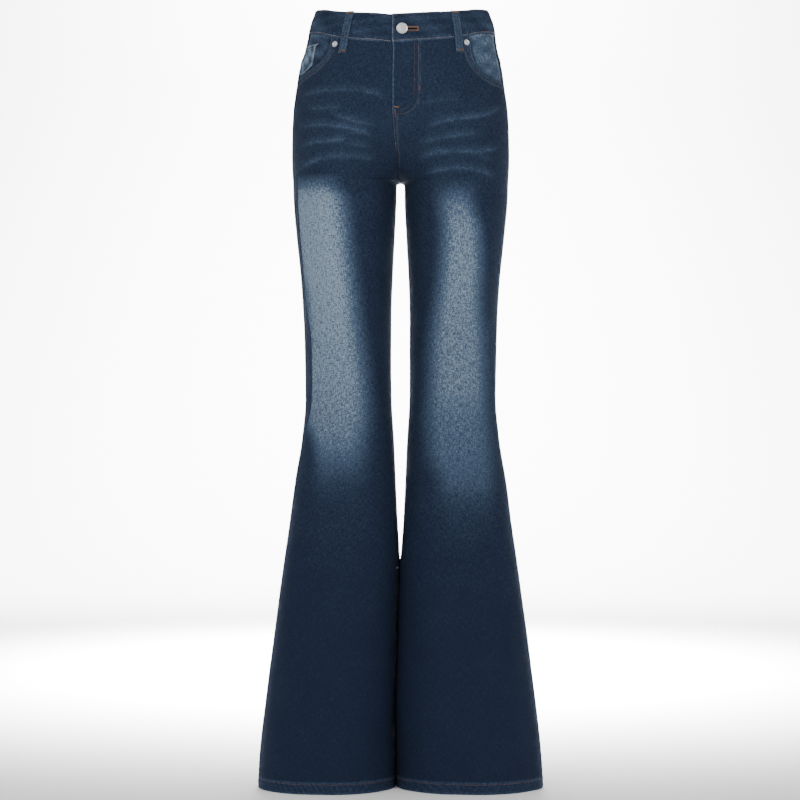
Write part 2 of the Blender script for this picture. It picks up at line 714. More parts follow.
def grid_faces(rows, columns, offset=0):
    corner = offset + np.arange(rows * columns).reshape(rows, columns)
    quads = [corner[:-1, :-1], corner[1:, :-1], corner[1:, 1:], corner[:-1, 1:]]
    return np.stack([q.ravel() for q in quads], axis=1)


def shell(name, outer, inner, pale, spread, finish):
    """A thin closed shell of cloth from two grids of points in millimetres. pale is how rubbed the outer
    face is, and spread gives each point's place on the flat cloth, in millimetres, for the weave."""
    rows, columns = outer.shape[:2]
    count = rows * columns
    points = np.concatenate([outer.reshape(-1, 3), inner.reshape(-1, 3)]) * MM
    front, back = grid_faces(rows, columns), grid_faces(rows, columns, count)[:, ::-1]
    corner = np.arange(count).reshape(rows, columns)
    rim = np.concatenate([corner[:, 0], corner[-1, 1:], corner[-2::-1, -1], corner[0, -2:0:-1]])
    following = np.roll(rim, -1)
    edge = np.stack([rim, rim + count, following + count, following], axis=1)
    faces = np.concatenate([front, back, edge])
    a, b, c, d = (points[faces[:, i]] for i in range(4))
    volume = np.einsum("ij,ij->i", a, np.cross(b, c) + np.cross(c, d)).sum()
    if volume < 0:
        faces = faces[:, ::-1]
    mesh = bpy.data.meshes.new(name)
    mesh.from_pydata(points, [], faces)
    flat = np.concatenate([spread.reshape(-1, 2)] * 2) * MM
    loops = np.empty(len(mesh.loops), np.int32)
    mesh.loops.foreach_get("vertex_index", loops)
    mesh.uv_layers.new(name="UVMap").data.foreach_set("uv", flat[loops].astype(np.float32).ravel())
    values = {
        "pale": np.concatenate([pale.ravel(), np.zeros(count)]),
        "inside": np.concatenate([np.zeros(count), np.ones(count)]),
    }
    for key, value in values.items():
        mesh.attributes.new(key, "FLOAT", "POINT").data.foreach_set("value", value.astype(np.float32))
    mesh.shade_smooth()
    mesh.set_sharp_from_angle(angle=math.radians(60))
    mesh.materials.append(finish)
    piece = bpy.data.objects.new(name, mesh)
    bpy.context.scene.collection.objects.link(piece)
    return piece


def belongs(piece, slot, *nodes):
    """The piece rides with the jeans and stands for its CAD nodes."""
    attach(piece, "root")
    if nodes:
        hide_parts(*nodes)


def cloth_piece(node, slot, *shape):
    """A shell of cloth in the place of one CAD node."""
    piece = shell(f"{node}_cloth", *shape)
    belongs(piece, slot, node)
    return piece


def graded(count, pull=0.6):
    """Steps from 0 to 1 that lie closer together near both ends."""
    part = np.linspace(0, 1, count + 1)
    return part - pull * np.sin(2 * np.pi * part) / (2 * np.pi)


def panel_levels(top):
    """Levels from below a panel's top zone to the hem, close together at the crotch and the hem."""
    seat = np.arange(top, CROTCH_Z + 40, -1.6)
    rise = CROTCH_Z + RISE_HEIGHT * (1 - np.cos(np.radians(np.arange(60, -1, -3))))
    arch = CROTCH_Z - ARCH_RADIUS * (1 - np.cos(np.radians(np.arange(15, 91, 15))))
    leg = np.linspace(CROTCH_Z - ARCH_RADIUS - 4, HEM_Z + 28, 146)
    turned = np.linspace(HEM_Z + 26, HEM_Z, 16)
    return np.concatenate([seat[seat > rise[0] + 1], rise, arch, leg, turned])


def panel(side, front, top_share, top_z, even_share, zone_z, zone_rows, finish):
    """A leg panel: rows from its top edge that even out at a level, and level rows down to the hem."""
    down = np.linspace(0, 1, zone_rows)[:-1, None]
    top_rows = top_z + (zone_z - top_z) * down
    top_shares = top_share + (even_share - top_share) * ease(down, 0, 1)
    levels = panel_levels(zone_z)[:, None]
    z = np.concatenate([top_rows, np.broadcast_to(levels, (len(levels), len(top_z)))])
    share = np.concatenate([top_shares, np.broadcast_to(even_share, (len(levels), len(top_z)))])
    length = line_length(side, front, z)
    margin = SEAM_GAP / 2 / length
    inner = np.where(z > CROTCH_Z + 0.01, 1, 1 - margin)
    share = np.clip(share, margin, inner)
    points, _, pale = (front_face if front else back_face)(side, share, z)
    plain, _ = cloth(side, -share if front else share, z, -CLOTH_THICK)
    spread = np.stack([(-side if front else side) * share * length, z], axis=-1)
    face = "front" if front else "back"
    return cloth_piece(f"{face}_{side_name(side)}", f"{face}_denim", points, plain, pale, spread, finish)


# Fronts

SCOOP_COLUMNS = 32
SCOOP_SHARE = 0.34
FRONT_COLUMNS = 58
BACK_COLUMNS = 84
CLOTH_THICK = 1.5


def front_top(side):
    """The top edge of a front panel, down the pocket's scoop and along the waist seam: shares and heights,
    and the even shares that the columns spread to."""
    line_share, line_z, line_along = scoop_line(side)
    run = np.concatenate([[0], np.cumsum(np.hypot(np.diff(line_along), np.diff(line_z)))])
    at = np.linspace(0, run[-1], SCOOP_COLUMNS + 1)
    scoop_share, scoop_z = np.interp(at, run, line_share), np.interp(at, run, line_z)
    corner = scoop_share[-1]
    waist_share = corner + (1 - corner) * graded(FRONT_COLUMNS)[1:]
    across = SCOOP_SHARE + (1 - SCOOP_SHARE) * graded(FRONT_COLUMNS, 0.5)[1:]
    even = np.concatenate([np.linspace(0, SCOOP_SHARE, SCOOP_COLUMNS + 1), across])
    waist_z = waist_seam(-waist_share) - SEAM_GAP / 2
    return np.concatenate([scoop_share, waist_share]), np.concatenate([scoop_z, waist_z]), even


def make_front(side, finish):
    top_share, top_z, even = front_top(side)
    return panel(side, True, top_share, top_z, even, POCKET_ZONE_Z, 40, finish)


def make_back(side, finish):
    share = graded(BACK_COLUMNS)
    return panel(side, False, share, yoke_seam(share) - SEAM_GAP / 2, share, YOKE_ZONE_Z, 24, finish)


def make_yoke(side, finish):
    share = graded(72)[None, :]
    down = graded(22, 0.4)[:, None]
    top, bottom = waist_seam(share) - SEAM_GAP / 2, yoke_seam(share) + SEAM_GAP / 2
    z = top + (bottom - top) * down
    length = line_length(side, False, z)
    share = np.maximum(np.broadcast_to(share, z.shape), SEAM_GAP / 2 / length)
    points, _, pale = back_face(side, share, z)
    plain, _ = cloth(side, share, z, -CLOTH_THICK)
    spread = np.stack([side * share * length, z], axis=-1)
    return cloth_piece(f"yoke_{side_name(side)}", "back_denim", points, plain, pale, spread, finish)


# Pockets

FACING_THICK = 1.2
FACING_BOTTOM = -102
FACING_DEEP = CLOTH_THICK + LAYER_GAP
FACING_PALE = {"left": 0.5, "right": 0.22}

# The coin pocket lies on the wearer's right facing. inner is how far out its edge is at a height, and wide
# is how wide the pocket is there.
COIN_POCKET = table(
    "z inner wide",
    (-29.5, 114.6, 30), (-34, 119, 27), (-46, 121, 26), (-60, 123.5, 25), (-64.5, 128, 21), (-71, 137.5, 10),
)
COIN_TOP, COIN_END = -29.5, -71
COIN_THICK = 1.1
COIN_START = 2.5
COIN_GAP = 0.36

# Plain patch pockets on the seat: middle is how far out the pocket's middle lies.
BACK_POCKET = {"middle": 71, "top": -88, "half_top": 54, "half_bottom": 46, "tall": 100, "point": 20}
BACK_POCKET_OUT = 2.0
BACK_POCKET_THICK = 1.3
BACK_POCKET_HEM = 17
BACK_POCKET_STITCH = 7.5
BACK_POCKET_FOOT = 0.93


def make_facing(side, finish):
    """The denim seen inside a front pocket's scoop, softly wrinkled by the hand."""
    name = side_name(side)
    corner = front_top(side)[0][SCOOP_COLUMNS]
    share = np.linspace(0, corner + (1 - corner) / 8, 45)[None, :]
    top = waist_seam(-share) - SEAM_GAP / 2
    z = top + (FACING_BOTTOM - top) * np.linspace(0, 1, 41)[:, None]
    length = line_length(side, True, z)
    share = np.maximum(np.broadcast_to(share, z.shape), SEAM_GAP / 2 / length)
    along = share * length
    points, normals = cloth(side, -share, z, -FACING_DEEP)
    wrinkle = np.sin(z / 3.4 + along / 17 + side) * np.sin(along / 11 + z / 19)
    rise = 0.26 * wrinkle - 0.4 * bump(along, 0.8)
    pale = FACING_PALE[name] + 0.14 * wrinkle + 0.24 * bump(along - 4, 9) + 0.4 * bump(z - top, 2.6)
    pale = pale - 0.3 * bump(from_scoop(side, along, z), 5)
    plain, _ = cloth(side, -share, z, -FACING_DEEP - FACING_THICK)
    spread = np.stack([-side * along, z], axis=-1)
    shape = points + normals * rise[..., None], plain, np.clip(pale, 0, 1), spread
    return cloth_piece(f"pocket_facing_{name}", "facing_denim", *shape, finish)


def from_scoop(side, along, z):
    _, line_z, line_along = scoop_line(side)
    return from_line(line_along, line_z, along, z, POCKET_ZONE_Z)


def coin_place(part, z):
    """Places on the coin pocket: part goes from 0 near the side seam to 1 at its free edge."""
    _, turn = turn_at_x(True, -look(COIN_POCKET, "z", "inner", z), z)
    length = line_length(-1, True, z)
    edge, start = -turn.reshape(z.shape), COIN_START / length
    return start + (edge - start) * part, length


def coin_face(part, z):
    """The coin pocket's face: part goes from 0 near the side seam to 1 at its free edge."""
    share, length = coin_place(part, z)
    points, normals = cloth(-1, -share, z, -FACING_DEEP + COIN_GAP + COIN_THICK)
    away = (1 - part) * look(COIN_POCKET, "z", "wide", z)
    top = COIN_TOP - z
    wrinkle = np.sin(z / 3.1 + part * 4) * np.sin(part * 7 + z / 11)
    rise = 0.12 * wrinkle - 0.4 * bump(away, 0.7) - 0.4 * bump(top, 0.7) - 0.2 * bump(away - EDGE_STITCH, 0.7)
    pale = 0.72 + 0.34 * wrinkle + 0.3 * bump(away - 0.6, 1)
    pale = pale + 0.3 * bump(top - 1, 2) - 0.3 * bump(away - 6, 2.4)
    return points + normals * rise[..., None], normals, np.clip(pale, 0, 1), share, length


def make_coin_pocket(finish):
    part, z = np.linspace(0, 1, 25)[None, :], np.linspace(COIN_TOP, COIN_END, 34)[:, None]
    part, z = np.broadcast_arrays(part, z)
    points, _, pale, share, length = coin_face(part, z)
    plain, _ = cloth(-1, -share, z, -FACING_DEEP + COIN_GAP)
    spread = np.stack([share * length, z], axis=-1)
    return cloth_piece("coin_pocket", "worn_denim", points, plain, pale, spread, finish)


def back_pocket_half(down):
    """Half a back pocket's width at a share of its height."""
    return BACK_POCKET["half_top"] + (BACK_POCKET["half_bottom"] - BACK_POCKET["half_top"]) * down


def back_pocket_drop(wide):
    """A back pocket's height at a place across it."""
    return BACK_POCKET["tall"] + BACK_POCKET["point"] * (1 - np.abs(wide))


def back_pocket_place(side, wide, down):
    """Places on a back pocket: wide goes from -1 to 1 away from the centre seam, down from 0 to 1."""
    drop = back_pocket_drop(wide)
    z = BACK_POCKET["top"] + 4 * wide - down * drop
    half = back_pocket_half(down)
    x = side * (BACK_POCKET["middle"] + wide * half)
    _, turn = turn_at_x(False, x, z)
    edge = np.minimum((1 - np.abs(wide)) * half, (1 - down) * drop * BACK_POCKET_FOOT)
    return turn.reshape(z.shape), z, edge, down * drop, x


def back_pocket_face(side, wide, down):
    wide, down = np.broadcast_arrays(np.asarray(wide, float), np.asarray(down, float))
    turn, z, edge, below, x = back_pocket_place(side, wide, down)
    points, normals = cloth(side, turn, z, BACK_POCKET_OUT)
    ripple = pucker(z + x, 8, side)
    rise = 0.15 * drape(side, x, z) - 0.45 * bump(edge, 0.8) - 0.45 * bump(below, 0.8)
    sewn = bump(edge - EDGE_STITCH, 0.8) + bump(edge - BACK_POCKET_STITCH, 0.8)
    rise = rise - 0.25 * (sewn + bump(below - BACK_POCKET_HEM + 2, 0.8))
    rise = rise + 0.25 * (1 - ease(below, BACK_POCKET_HEM - 1, BACK_POCKET_HEM + 1))
    pale = 0.26 * bump(z + 150, 46) + 0.3 * bump(edge - 0.7, 1.1) + 0.3 * bump(below - 0.7, 1.2)
    pale = pale + 0.14 * bump(edge - 4.5, 1.8) * (0.7 + 0.3 * ripple) + 0.12 * bump(edge - 9.2, 1.2)
    return points + normals * rise[..., None], normals, np.clip(pale, 0, 1)


def make_back_pocket(side, finish):
    wide = 2 * graded(56, 0.5)[None, :] - 1
    down = graded(62, 0.5)[:, None]
    points, _, pale = back_pocket_face(side, wide, down)
    turn, z, _, _, x = back_pocket_place(side, *np.broadcast_arrays(wide, down))
    plain, _ = cloth(side, turn, z, BACK_POCKET_OUT - BACK_POCKET_THICK)
    spread = np.stack([-x, z], axis=-1)
    return cloth_piece(f"back_pocket_{side_name(side)}", "back_denim", points, plain, pale, spread, finish)


# Waistband and belt loops

UNDER_END_X = 28
UNDER_DROP = BAND_THICK + LAYER_GAP
UNDER_RUN = 26
BAND_STITCH = 2.6
BUTTON_PLACE = {"x": 2.8, "z": -14.6}
LOOP_WIDTH = 11.2
LOOP_THICK = 1.6
LOOP_STITCH = 2.2

# Belt loops: top_x and bottom_x are their middle lines, top and bottom their ends.
BELT_LOOPS = listed(
    "name front top_x bottom_x top bottom",
    ("belt_loop_front_right", True, -68.6, -80.4, 11.4, -48),
    ("belt_loop_front_left", True, 75.6, 83.4, 12.2, -46.4),
    ("belt_loop_side_right", False, -88, -93, 22.8, -31),
    ("belt_loop_side_left", False, 94, 97, 22.8, -31),
    ("belt_loop_back", False, 3, 1.5, 24.4, -30),
)

# How far a loop's underside stands off the panel, down its length.
LOOP_LIFT = table(
    "along lift",
    (0, 0.95), (0.15, 1.5), (0.4, 2.3), (0.6, 1.7), (0.72, 0.95), (0.8, 0.45), (1, 0.35),
)


def band_line(down):
    """The band's course at a share of its height, from its under end, round the wearer's right and the back
    to its upper end: sides, turns, heights and how far the face stands out."""
    level = waist_top(-1) + down * (waist_seam(-1) - waist_top(-1))
    under_x = np.arange(UNDER_END_X, -5, -2.0)
    side, turn = turn_at_x(True, under_x, np.full(len(under_x), level))
    lapped = 0.012 + 0.238 * np.linspace(0, 1, 24) ** 1.2
    eased = 0.5 + 0.5 * np.cos(np.pi * np.clip(lapped * 172 / UNDER_RUN, 0, 1))
    right = np.linspace(-0.73, 0.985, 96)
    left = np.concatenate([np.linspace(0.985, -0.97, 110), [-0.98, -0.985, -0.99, -0.994, -0.997, -1]])
    sides = np.concatenate([side, -np.ones(len(lapped) + len(right)), np.ones(len(left))])
    turns = np.concatenate([turn, lapped - 1, right, left])
    out = np.concatenate([
        np.full(len(turn), BAND_PROUD - UNDER_DROP), BAND_PROUD - UNDER_DROP * eased,
        np.full(len(right) + len(left), BAND_PROUD),
    ])
    z = waist_top(turns) + down * (waist_seam(turns) + SEAM_GAP / 2 - waist_top(turns))
    return sides, turns, z, out


def band_face(side, turn, z, out):
    """The waistband's face, with its turned edges and its two rows of stitching."""
    points, normals = cloth(side, turn, z, out)
    length = np.where(turn < 0, line_length(side, True, z), line_length(side, False, z))
    along = turn * length * side
    top, bottom = waist_top(turn) - z, z - waist_seam(turn)
    end = np.where((side > 0) & (turn < 0), (1 + turn) * length, 1e3)
    ripple = pucker(along, SEAM_RIPPLE, 0.4)
    rise = -0.6 * bump(top, 0.9) - 0.4 * bump(bottom, 0.7) - 0.5 * bump(end, 0.8)
    rise = rise - 0.3 * (bump(top - BAND_STITCH, 0.9) + bump(bottom - BAND_STITCH, 0.9)) * (1 + 0.3 * ripple)
    rise = rise + 0.18 * np.sin(along / 27 + z / 14) + 0.1 * ripple * bump(bottom - 6, 5)
    beside = bump(np.where(turn < 0, turn, 0.4) + 0.1, 0.16)
    pale = 0.11 + 0.14 * bump(top - 0.6, 1.2) * (0.8 + 0.2 * ripple) + 0.22 * bump(bottom - 0.8, 1.2)
    pale = pale + 0.2 * beside * bump(bottom - 12, 10) * (0.7 + 0.3 * np.sin(along / 9 + z / 3))
    pale = pale + 0.08 * np.sin(along / 31 + z / 3.5) * np.sin(along / 13 - z / 6)
    pale = pale + 0.6 * bump(end - 0.5, 0.9) + 0.1 * bump(bottom - 5.5, 2) * np.clip(ripple, 0, 1)
    return points + normals * rise[..., None], normals, np.clip(pale, 0, 1), along


def make_waistband(finish):
    levels = [band_line(down) for down in graded(18, 0.7)]
    side, turn, z, out = (np.stack(values) for values in zip(*levels))
    points, _, pale, along = band_face(side, turn, z, out)
    plain, _ = cloth(side, turn, z, out - BAND_THICK)
    spread = np.stack([z, -along], axis=-1)
    return cloth_piece("waistband", "band_denim", points, plain, pale, spread, finish)


def loop_face(loop, part, along):
    """A belt loop's face: part goes from -1 to 1 across it, along from 0 at its top to 1."""
    part, along = np.broadcast_arrays(np.asarray(part, float), np.asarray(along, float))
    z = loop["top"] + (loop["bottom"] - loop["top"]) * along
    middle = loop["top_x"] + (loop["bottom_x"] - loop["top_x"]) * along
    x = middle + part * LOOP_WIDTH / 2
    if abs(loop["top_x"]) > LOOP_WIDTH:
        side, turn = turn_at_x(loop["front"], middle, z)
        step = part.ravel() * LOOP_WIDTH / 2 / line_length(side, loop["front"], z.ravel())
        turn = turn + step * side * (1 if loop["front"] else -1)
    else:
        side, turn = turn_at_x(loop["front"], x, z)
    side, turn = side.reshape(z.shape), turn.reshape(z.shape)
    lift = look(LOOP_LIFT, "along", "lift", along)
    edge = (1 - np.abs(part)) * LOOP_WIDTH / 2
    run = along * abs(loop["bottom"] - loop["top"])
    end = abs(loop["bottom"] - loop["top"]) - run
    ripple = pucker(z, 5, loop["top_x"])
    rise = -0.45 * bump(edge, 0.8) - 0.25 * bump(edge - LOOP_STITCH, 0.8) + 0.12 * bump(edge - 6, 2) * ripple
    rise = rise - 0.4 * bump(run, 0.8) - 0.4 * bump(end, 0.8)
    pale = 0.23 + 0.16 * bump(edge - 0.6, 1) + 0.08 * bump(edge - 6, 2) * (1 + ripple)
    pale = pale + 0.1 * bump(end - 4, 3)
    points, normals = cloth(side, turn, z, lift + LOOP_THICK)
    plain, _ = cloth(side, turn, z, lift)
    spread = np.stack([x if loop["front"] else -x, z], axis=-1)
    return points + normals * rise[..., None], normals, np.clip(pale, 0, 1), plain, spread


def make_belt_loop(loop, finish):
    part = (2 * graded(14, 0.5) - 1)[None, :]
    points, _, pale, plain, spread = loop_face(loop, part, np.linspace(0, 1, 44)[:, None])
    return cloth_piece(loop["name"], "band_denim", points, plain, pale, spread, finish)


# Plain strips behind the fly, by how far they run across and down and how deep they lie

FLY_STRIPS = {
    "zip_tape": {"from": -7, "to": 19, "top": -56, "bottom": -110, "out": -2.3, "thick": 0.8},
    "fly_shield": {"from": -13, "to": 31, "top": -36, "bottom": -121, "out": -4.3, "thick": 1.5},
}


def make_fly_strip(name, finish):
    strip = FLY_STRIPS[name]
    x = np.linspace(strip["from"], strip["to"], 23)[None, :]
    z = np.linspace(strip["top"], strip["bottom"], 30)[:, None]
    x, z = np.broadcast_arrays(x, z)
    side, turn = (a.reshape(z.shape) for a in turn_at_x(True, x, z))
    points, _ = cloth(side, turn, z, strip["out"])
    plain, _ = cloth(side, turn, z, strip["out"] - strip["thick"])
    return cloth_piece(
        name, "fly_cloth", points, plain, np.zeros(z.shape), np.stack([x, z], axis=-1), finish)


# Finishes

def paint(red, green, blue):
    """A colour as seen on screen, 0 to 255, turned into light."""
    levels = [value / 255 for value in (red, green, blue)]
    return tuple(v / 12.92 if v <= 0.04045 else ((v + 0.055) / 1.055) ** 2.4 for v in levels)


class Nodes:
    """Adds and links nodes in a material or a node group."""

    def __init__(self, tree):
        self.tree = tree

    def add(self, kind, settings=None, **inputs):
        node = self.tree.nodes.new(kind)
        for key, value in (settings or {}).items():
            setattr(node, key, value)
        for key, value in inputs.items():
            self.put(node.inputs[int(key[1:]) if key[1:].isdigit() else key.replace("_", " ")], value)
        return node

    def put(self, socket, value):
        if isinstance(value, bpy.types.NodeSocket):
            self.tree.links.new(value, socket)
        else:
            socket.default_value = value

    def math(self, operation, a, b=0.0, c=0.0, clamp=False):
        node = self.add("ShaderNodeMath", {"operation": operation, "use_clamp": clamp}, i0=a, i1=b, i2=c)
        return node.outputs[0]

    def mix(self, factor, a, b):
        node = self.add("ShaderNodeMix", {"data_type": "RGBA"})
        for socket, value in ((node.inputs[0], factor), (node.inputs[6], a), (node.inputs[7], b)):
            self.put(socket, value)
        return node.outputs[2]

    def spread(self, value, low, high):
        settings = {"interpolation_type": "SMOOTHSTEP"}
        node = self.add("ShaderNodeMapRange", settings, Value=value, From_Min=low, From_Max=high)
        return node.outputs["Result"]


def make_group(name, inputs, outputs):
    """A shader node group with its named inputs and outputs."""
    tree = bpy.data.node_groups.new(name, "ShaderNodeTree")
    for label, (kind, default) in inputs.items():
        socket = tree.interface.new_socket(label, in_out="INPUT", socket_type=kind)
        socket.default_value = default
    for label, kind in outputs.items():
        tree.interface.new_socket(label, in_out="OUTPUT", socket_type=kind)
    nodes = Nodes(tree)
    entry, leave = nodes.add("NodeGroupInput"), nodes.add("NodeGroupOutput")
    return tree, nodes, entry, leave


FLOAT, COLOUR = "NodeSocketFloat", "NodeSocketColor"


# Thick and thin places in the yarns: how many to a metre across and down the cloth, and their share.
SLUBS = listed("across down share", (1100.0, 260.0, 0.38), (640.0, 120.0, 0.3), (170.0, 760.0, 0.32))


def twill_weave_group():
    """Diagonal twill lines with thick and thin yarns down the cloth, from its flat coordinates."""
    tree, nodes, entry, leave = make_group(
        "twill_weave", {"Twill Pitch": (FLOAT, 0.0011)},
        {"Twill": FLOAT, "Yarns": FLOAT, "Height": FLOAT},
    )
    flat = nodes.add("ShaderNodeUVMap", {"uv_map": "UVMap"}).outputs[0]
    split = nodes.add("ShaderNodeSeparateXYZ", i0=flat)
    wide_way, down = split.outputs[0], split.outputs[1]
    waver = nodes.add("ShaderNodeTexNoise", {"noise_dimensions": "2D"}, Vector=flat, Scale=260.0, Detail=1.0)
    slope = nodes.math("SUBTRACT", nodes.math("MULTIPLY", wide_way, 0.78), nodes.math("MULTIPLY", down, 0.62))
    wavering = nodes.math("MULTIPLY_ADD", waver.outputs["Fac"], 0.0006, slope)
    turns = nodes.math("DIVIDE", wavering, entry.outputs["Twill Pitch"])
    wave = nodes.math("SINE", nodes.math("MULTIPLY", turns, 2 * math.pi))
    twill = nodes.math("MULTIPLY_ADD", wave, 0.5, 0.5)
    yarns = 0.0
    for slub in SLUBS:
        across = nodes.math("MULTIPLY", wide_way, slub["across"])
        along = nodes.math("MULTIPLY", down, slub["down"])
        stretched = nodes.add("ShaderNodeCombineXYZ", i0=across, i1=along).outputs[0]
        streaks = nodes.add(
            "ShaderNodeTexNoise", {"noise_dimensions": "2D"}, Vector=stretched, Scale=1.0, Detail=2.0,
            Roughness=0.6)
        yarns = nodes.math("MULTIPLY_ADD", streaks.outputs["Fac"], slub["share"], yarns)
    height = nodes.math("MULTIPLY_ADD", twill, 0.55, nodes.math("MULTIPLY", yarns, 0.45))
    nodes.put(leave.inputs["Twill"], twill)
    nodes.put(leave.inputs["Yarns"], yarns)
    nodes.put(leave.inputs["Height"], height)
    return tree


# The amount of wear at which the indigo is mid blue.
HALF_RUBBED = 0.42


def washed_indigo_group():
    """Indigo that goes from dark over mid blue to pale where it is rubbed, uneven along its yarns."""
    tree, nodes, entry, leave = make_group(
        "washed_indigo",
        {
            "Pale": (FLOAT, 0.0), "Twill": (FLOAT, 0.5), "Yarns": (FLOAT, 0.5), "Mottle": (FLOAT, 0.06),
            "Dark": (COLOUR, (0.01, 0.02, 0.05, 1)), "Mid": (COLOUR, (0.06, 0.11, 0.22, 1)),
            "Bright": (COLOUR, (0.3, 0.35, 0.4, 1)), "Wrong Side": (COLOUR, (0.2, 0.25, 0.3, 1)),
            "Inside": (FLOAT, 0.0),
        },
        {"Colour": COLOUR, "Roughness": FLOAT},
    )
    sources = entry.outputs
    place = nodes.add("ShaderNodeTexCoord").outputs["Object"]
    cloud = nodes.add(
        "ShaderNodeTexNoise", Vector=place, Scale=26.0, Detail=3.0, Roughness=0.6).outputs["Fac"]
    grain = nodes.math("MULTIPLY", nodes.math("SUBTRACT", sources["Yarns"], 0.5), 3.0)
    depth = nodes.math("MULTIPLY_ADD", sources["Pale"], 0.95, 0.12)
    uneven = nodes.math("MULTIPLY", grain, depth)
    ribs = nodes.math("MULTIPLY_ADD", sources["Pale"], 0.1, 0.05)
    threads = nodes.math("MULTIPLY", nodes.math("SUBTRACT", sources["Twill"], 0.5), ribs)
    clouded = nodes.math("MULTIPLY", nodes.math("SUBTRACT", cloud, 0.5), sources["Mottle"])
    level = nodes.math("MULTIPLY_ADD", sources["Pale"], 0.8, uneven)
    amount = nodes.math("ADD", level, nodes.math("ADD", threads, clouded))
    lower = nodes.math("DIVIDE", amount, HALF_RUBBED, clamp=True)
    upper = nodes.math("DIVIDE", nodes.math("SUBTRACT", amount, HALF_RUBBED), 1 - HALF_RUBBED, clamp=True)
    outside = nodes.mix(upper, nodes.mix(lower, sources["Dark"], sources["Mid"]), sources["Bright"])
    fleck = nodes.math("MULTIPLY", nodes.math("SUBTRACT", sources["Twill"], 0.5), 0.2)
    wrong = nodes.mix(nodes.math("ADD", fleck, 0.15, clamp=True), sources["Wrong Side"], sources["Mid"])
    nodes.put(leave.inputs["Colour"], nodes.mix(sources["Inside"], outside, wrong))
    nodes.put(leave.inputs["Roughness"], nodes.math("MULTIPLY_ADD", amount, 0.06, 0.84))
    return tree


def shared_group(name, builder):
    return bpy.data.node_groups.get(name) or builder()


def group_node(nodes, tree, **inputs):
    node = nodes.add("ShaderNodeGroup")
    node.node_tree = tree
    for key, value in inputs.items():
        nodes.put(node.inputs[key.replace("_", " ")], value)
    return node


def made_once(build):
    """Gives back the material of that name, and builds it the first time."""
    return lambda name, *rest, **more: bpy.data.materials.get(name) or build(name, *rest, **more)


def new_material(name):
    finish = bpy.data.materials.new(name)
    finish.use_nodes = True
    nodes = Nodes(finish.node_tree)
    return finish, nodes, finish.node_tree.nodes["Principled BSDF"]


@made_once
def denim(name, colours, mottle=0.07):
    """Indigo twill whose paleness comes from the piece's own attribute."""
    finish, nodes, surface = new_material(name)
    weave = group_node(nodes, shared_group("twill_weave", twill_weave_group))
    pale = nodes.add("ShaderNodeAttribute", {"attribute_name": "pale"}).outputs["Fac"]
    inside = nodes.add("ShaderNodeAttribute", {"attribute_name": "inside"}).outputs["Fac"]
    indigo = group_node(
        nodes, shared_group("washed_indigo", washed_indigo_group),
        Pale=pale, Twill=weave.outputs["Twill"], Yarns=weave.outputs["Yarns"], Mottle=mottle,
        Dark=(*colours.dark_indigo, 1), Mid=(*colours.mid_blue, 1), Bright=(*colours.pale_blue, 1),
        Wrong_Side=(*colours.wrong_side, 1), Inside=inside,
    )
    relief = nodes.add("ShaderNodeBump", Height=weave.outputs["Height"], Strength=0.55, Distance=0.0004)
    nodes.put(surface.inputs["Base Color"], indigo.outputs["Colour"])
    nodes.put(surface.inputs["Roughness"], indigo.outputs["Roughness"])
    nodes.put(surface.inputs["Normal"], relief.outputs["Normal"])
    surface.inputs["Specular IOR Level"].default_value = 0.04
    surface.inputs["Sheen Weight"].default_value = 0.012
    surface.inputs["Sheen Roughness"].default_value = 0.55
    surface.inputs["Sheen Tint"].default_value = (0.62, 0.72, 0.9, 1)
    return finish


# Settings

class JeansSizes(bpy.types.PropertyGroup):
    stitch_length: bpy.props.FloatProperty(
        name="Stitch length", description="Length of one topstitch", default=0.0027, unit="LENGTH",
        precision=5)
    stitch_gap: bpy.props.FloatProperty(
        name="Stitch gap", description="Cloth between two topstitches", default=0.0007,
        unit="LENGTH", precision=5)
    thread_width: bpy.props.FloatProperty(
        name="Thread width", description="Width of the topstitching thread", default=0.00068,
        unit="LENGTH", precision=5)


class JeansColours(bpy.types.PropertyGroup):
    dark_indigo: bpy.props.FloatVectorProperty(
        name="Dark indigo", description="Denim where it isn't rubbed", subtype="COLOR",
        default=paint(24, 32, 50))
    mid_blue: bpy.props.FloatVectorProperty(
        name="Mid blue", description="Denim that is half rubbed", subtype="COLOR",
        default=paint(64, 80, 101))
    pale_blue: bpy.props.FloatVectorProperty(
        name="Pale blue", description="Denim where it is rubbed most", subtype="COLOR",
        default=paint(131, 148, 163))
    wrong_side: bpy.props.FloatVectorProperty(
        name="Wrong side", description="The denim's inner face", subtype="COLOR",
        default=paint(56, 66, 82))
    brown_thread: bpy.props.FloatVectorProperty(
        name="Brown thread", description="Topstitching thread", subtype="COLOR",
        default=paint(98, 73, 59))
    pale_thread: bpy.props.FloatVectorProperty(
        name="Pale thread", description="Worn thread along the waist", subtype="COLOR",
        default=paint(140, 128, 122))
    dull_thread: bpy.props.FloatVectorProperty(
        name="Dull thread", description="Thread that nearly matches the denim", subtype="COLOR",
        default=paint(70, 68, 72))
    silver: bpy.props.FloatVectorProperty(
        name="Silver", description="Button, rivets and zip", subtype="COLOR",
        default=paint(214, 216, 218))
    floor: bpy.props.FloatVectorProperty(
        name="Floor", description="Floor and backdrop", subtype="COLOR", default=(0.9, 0.9, 0.9))


def sizes():
    return bpy.context.scene.jeans_sizes


def colours():
    return bpy.context.scene.jeans_colours


# Stage

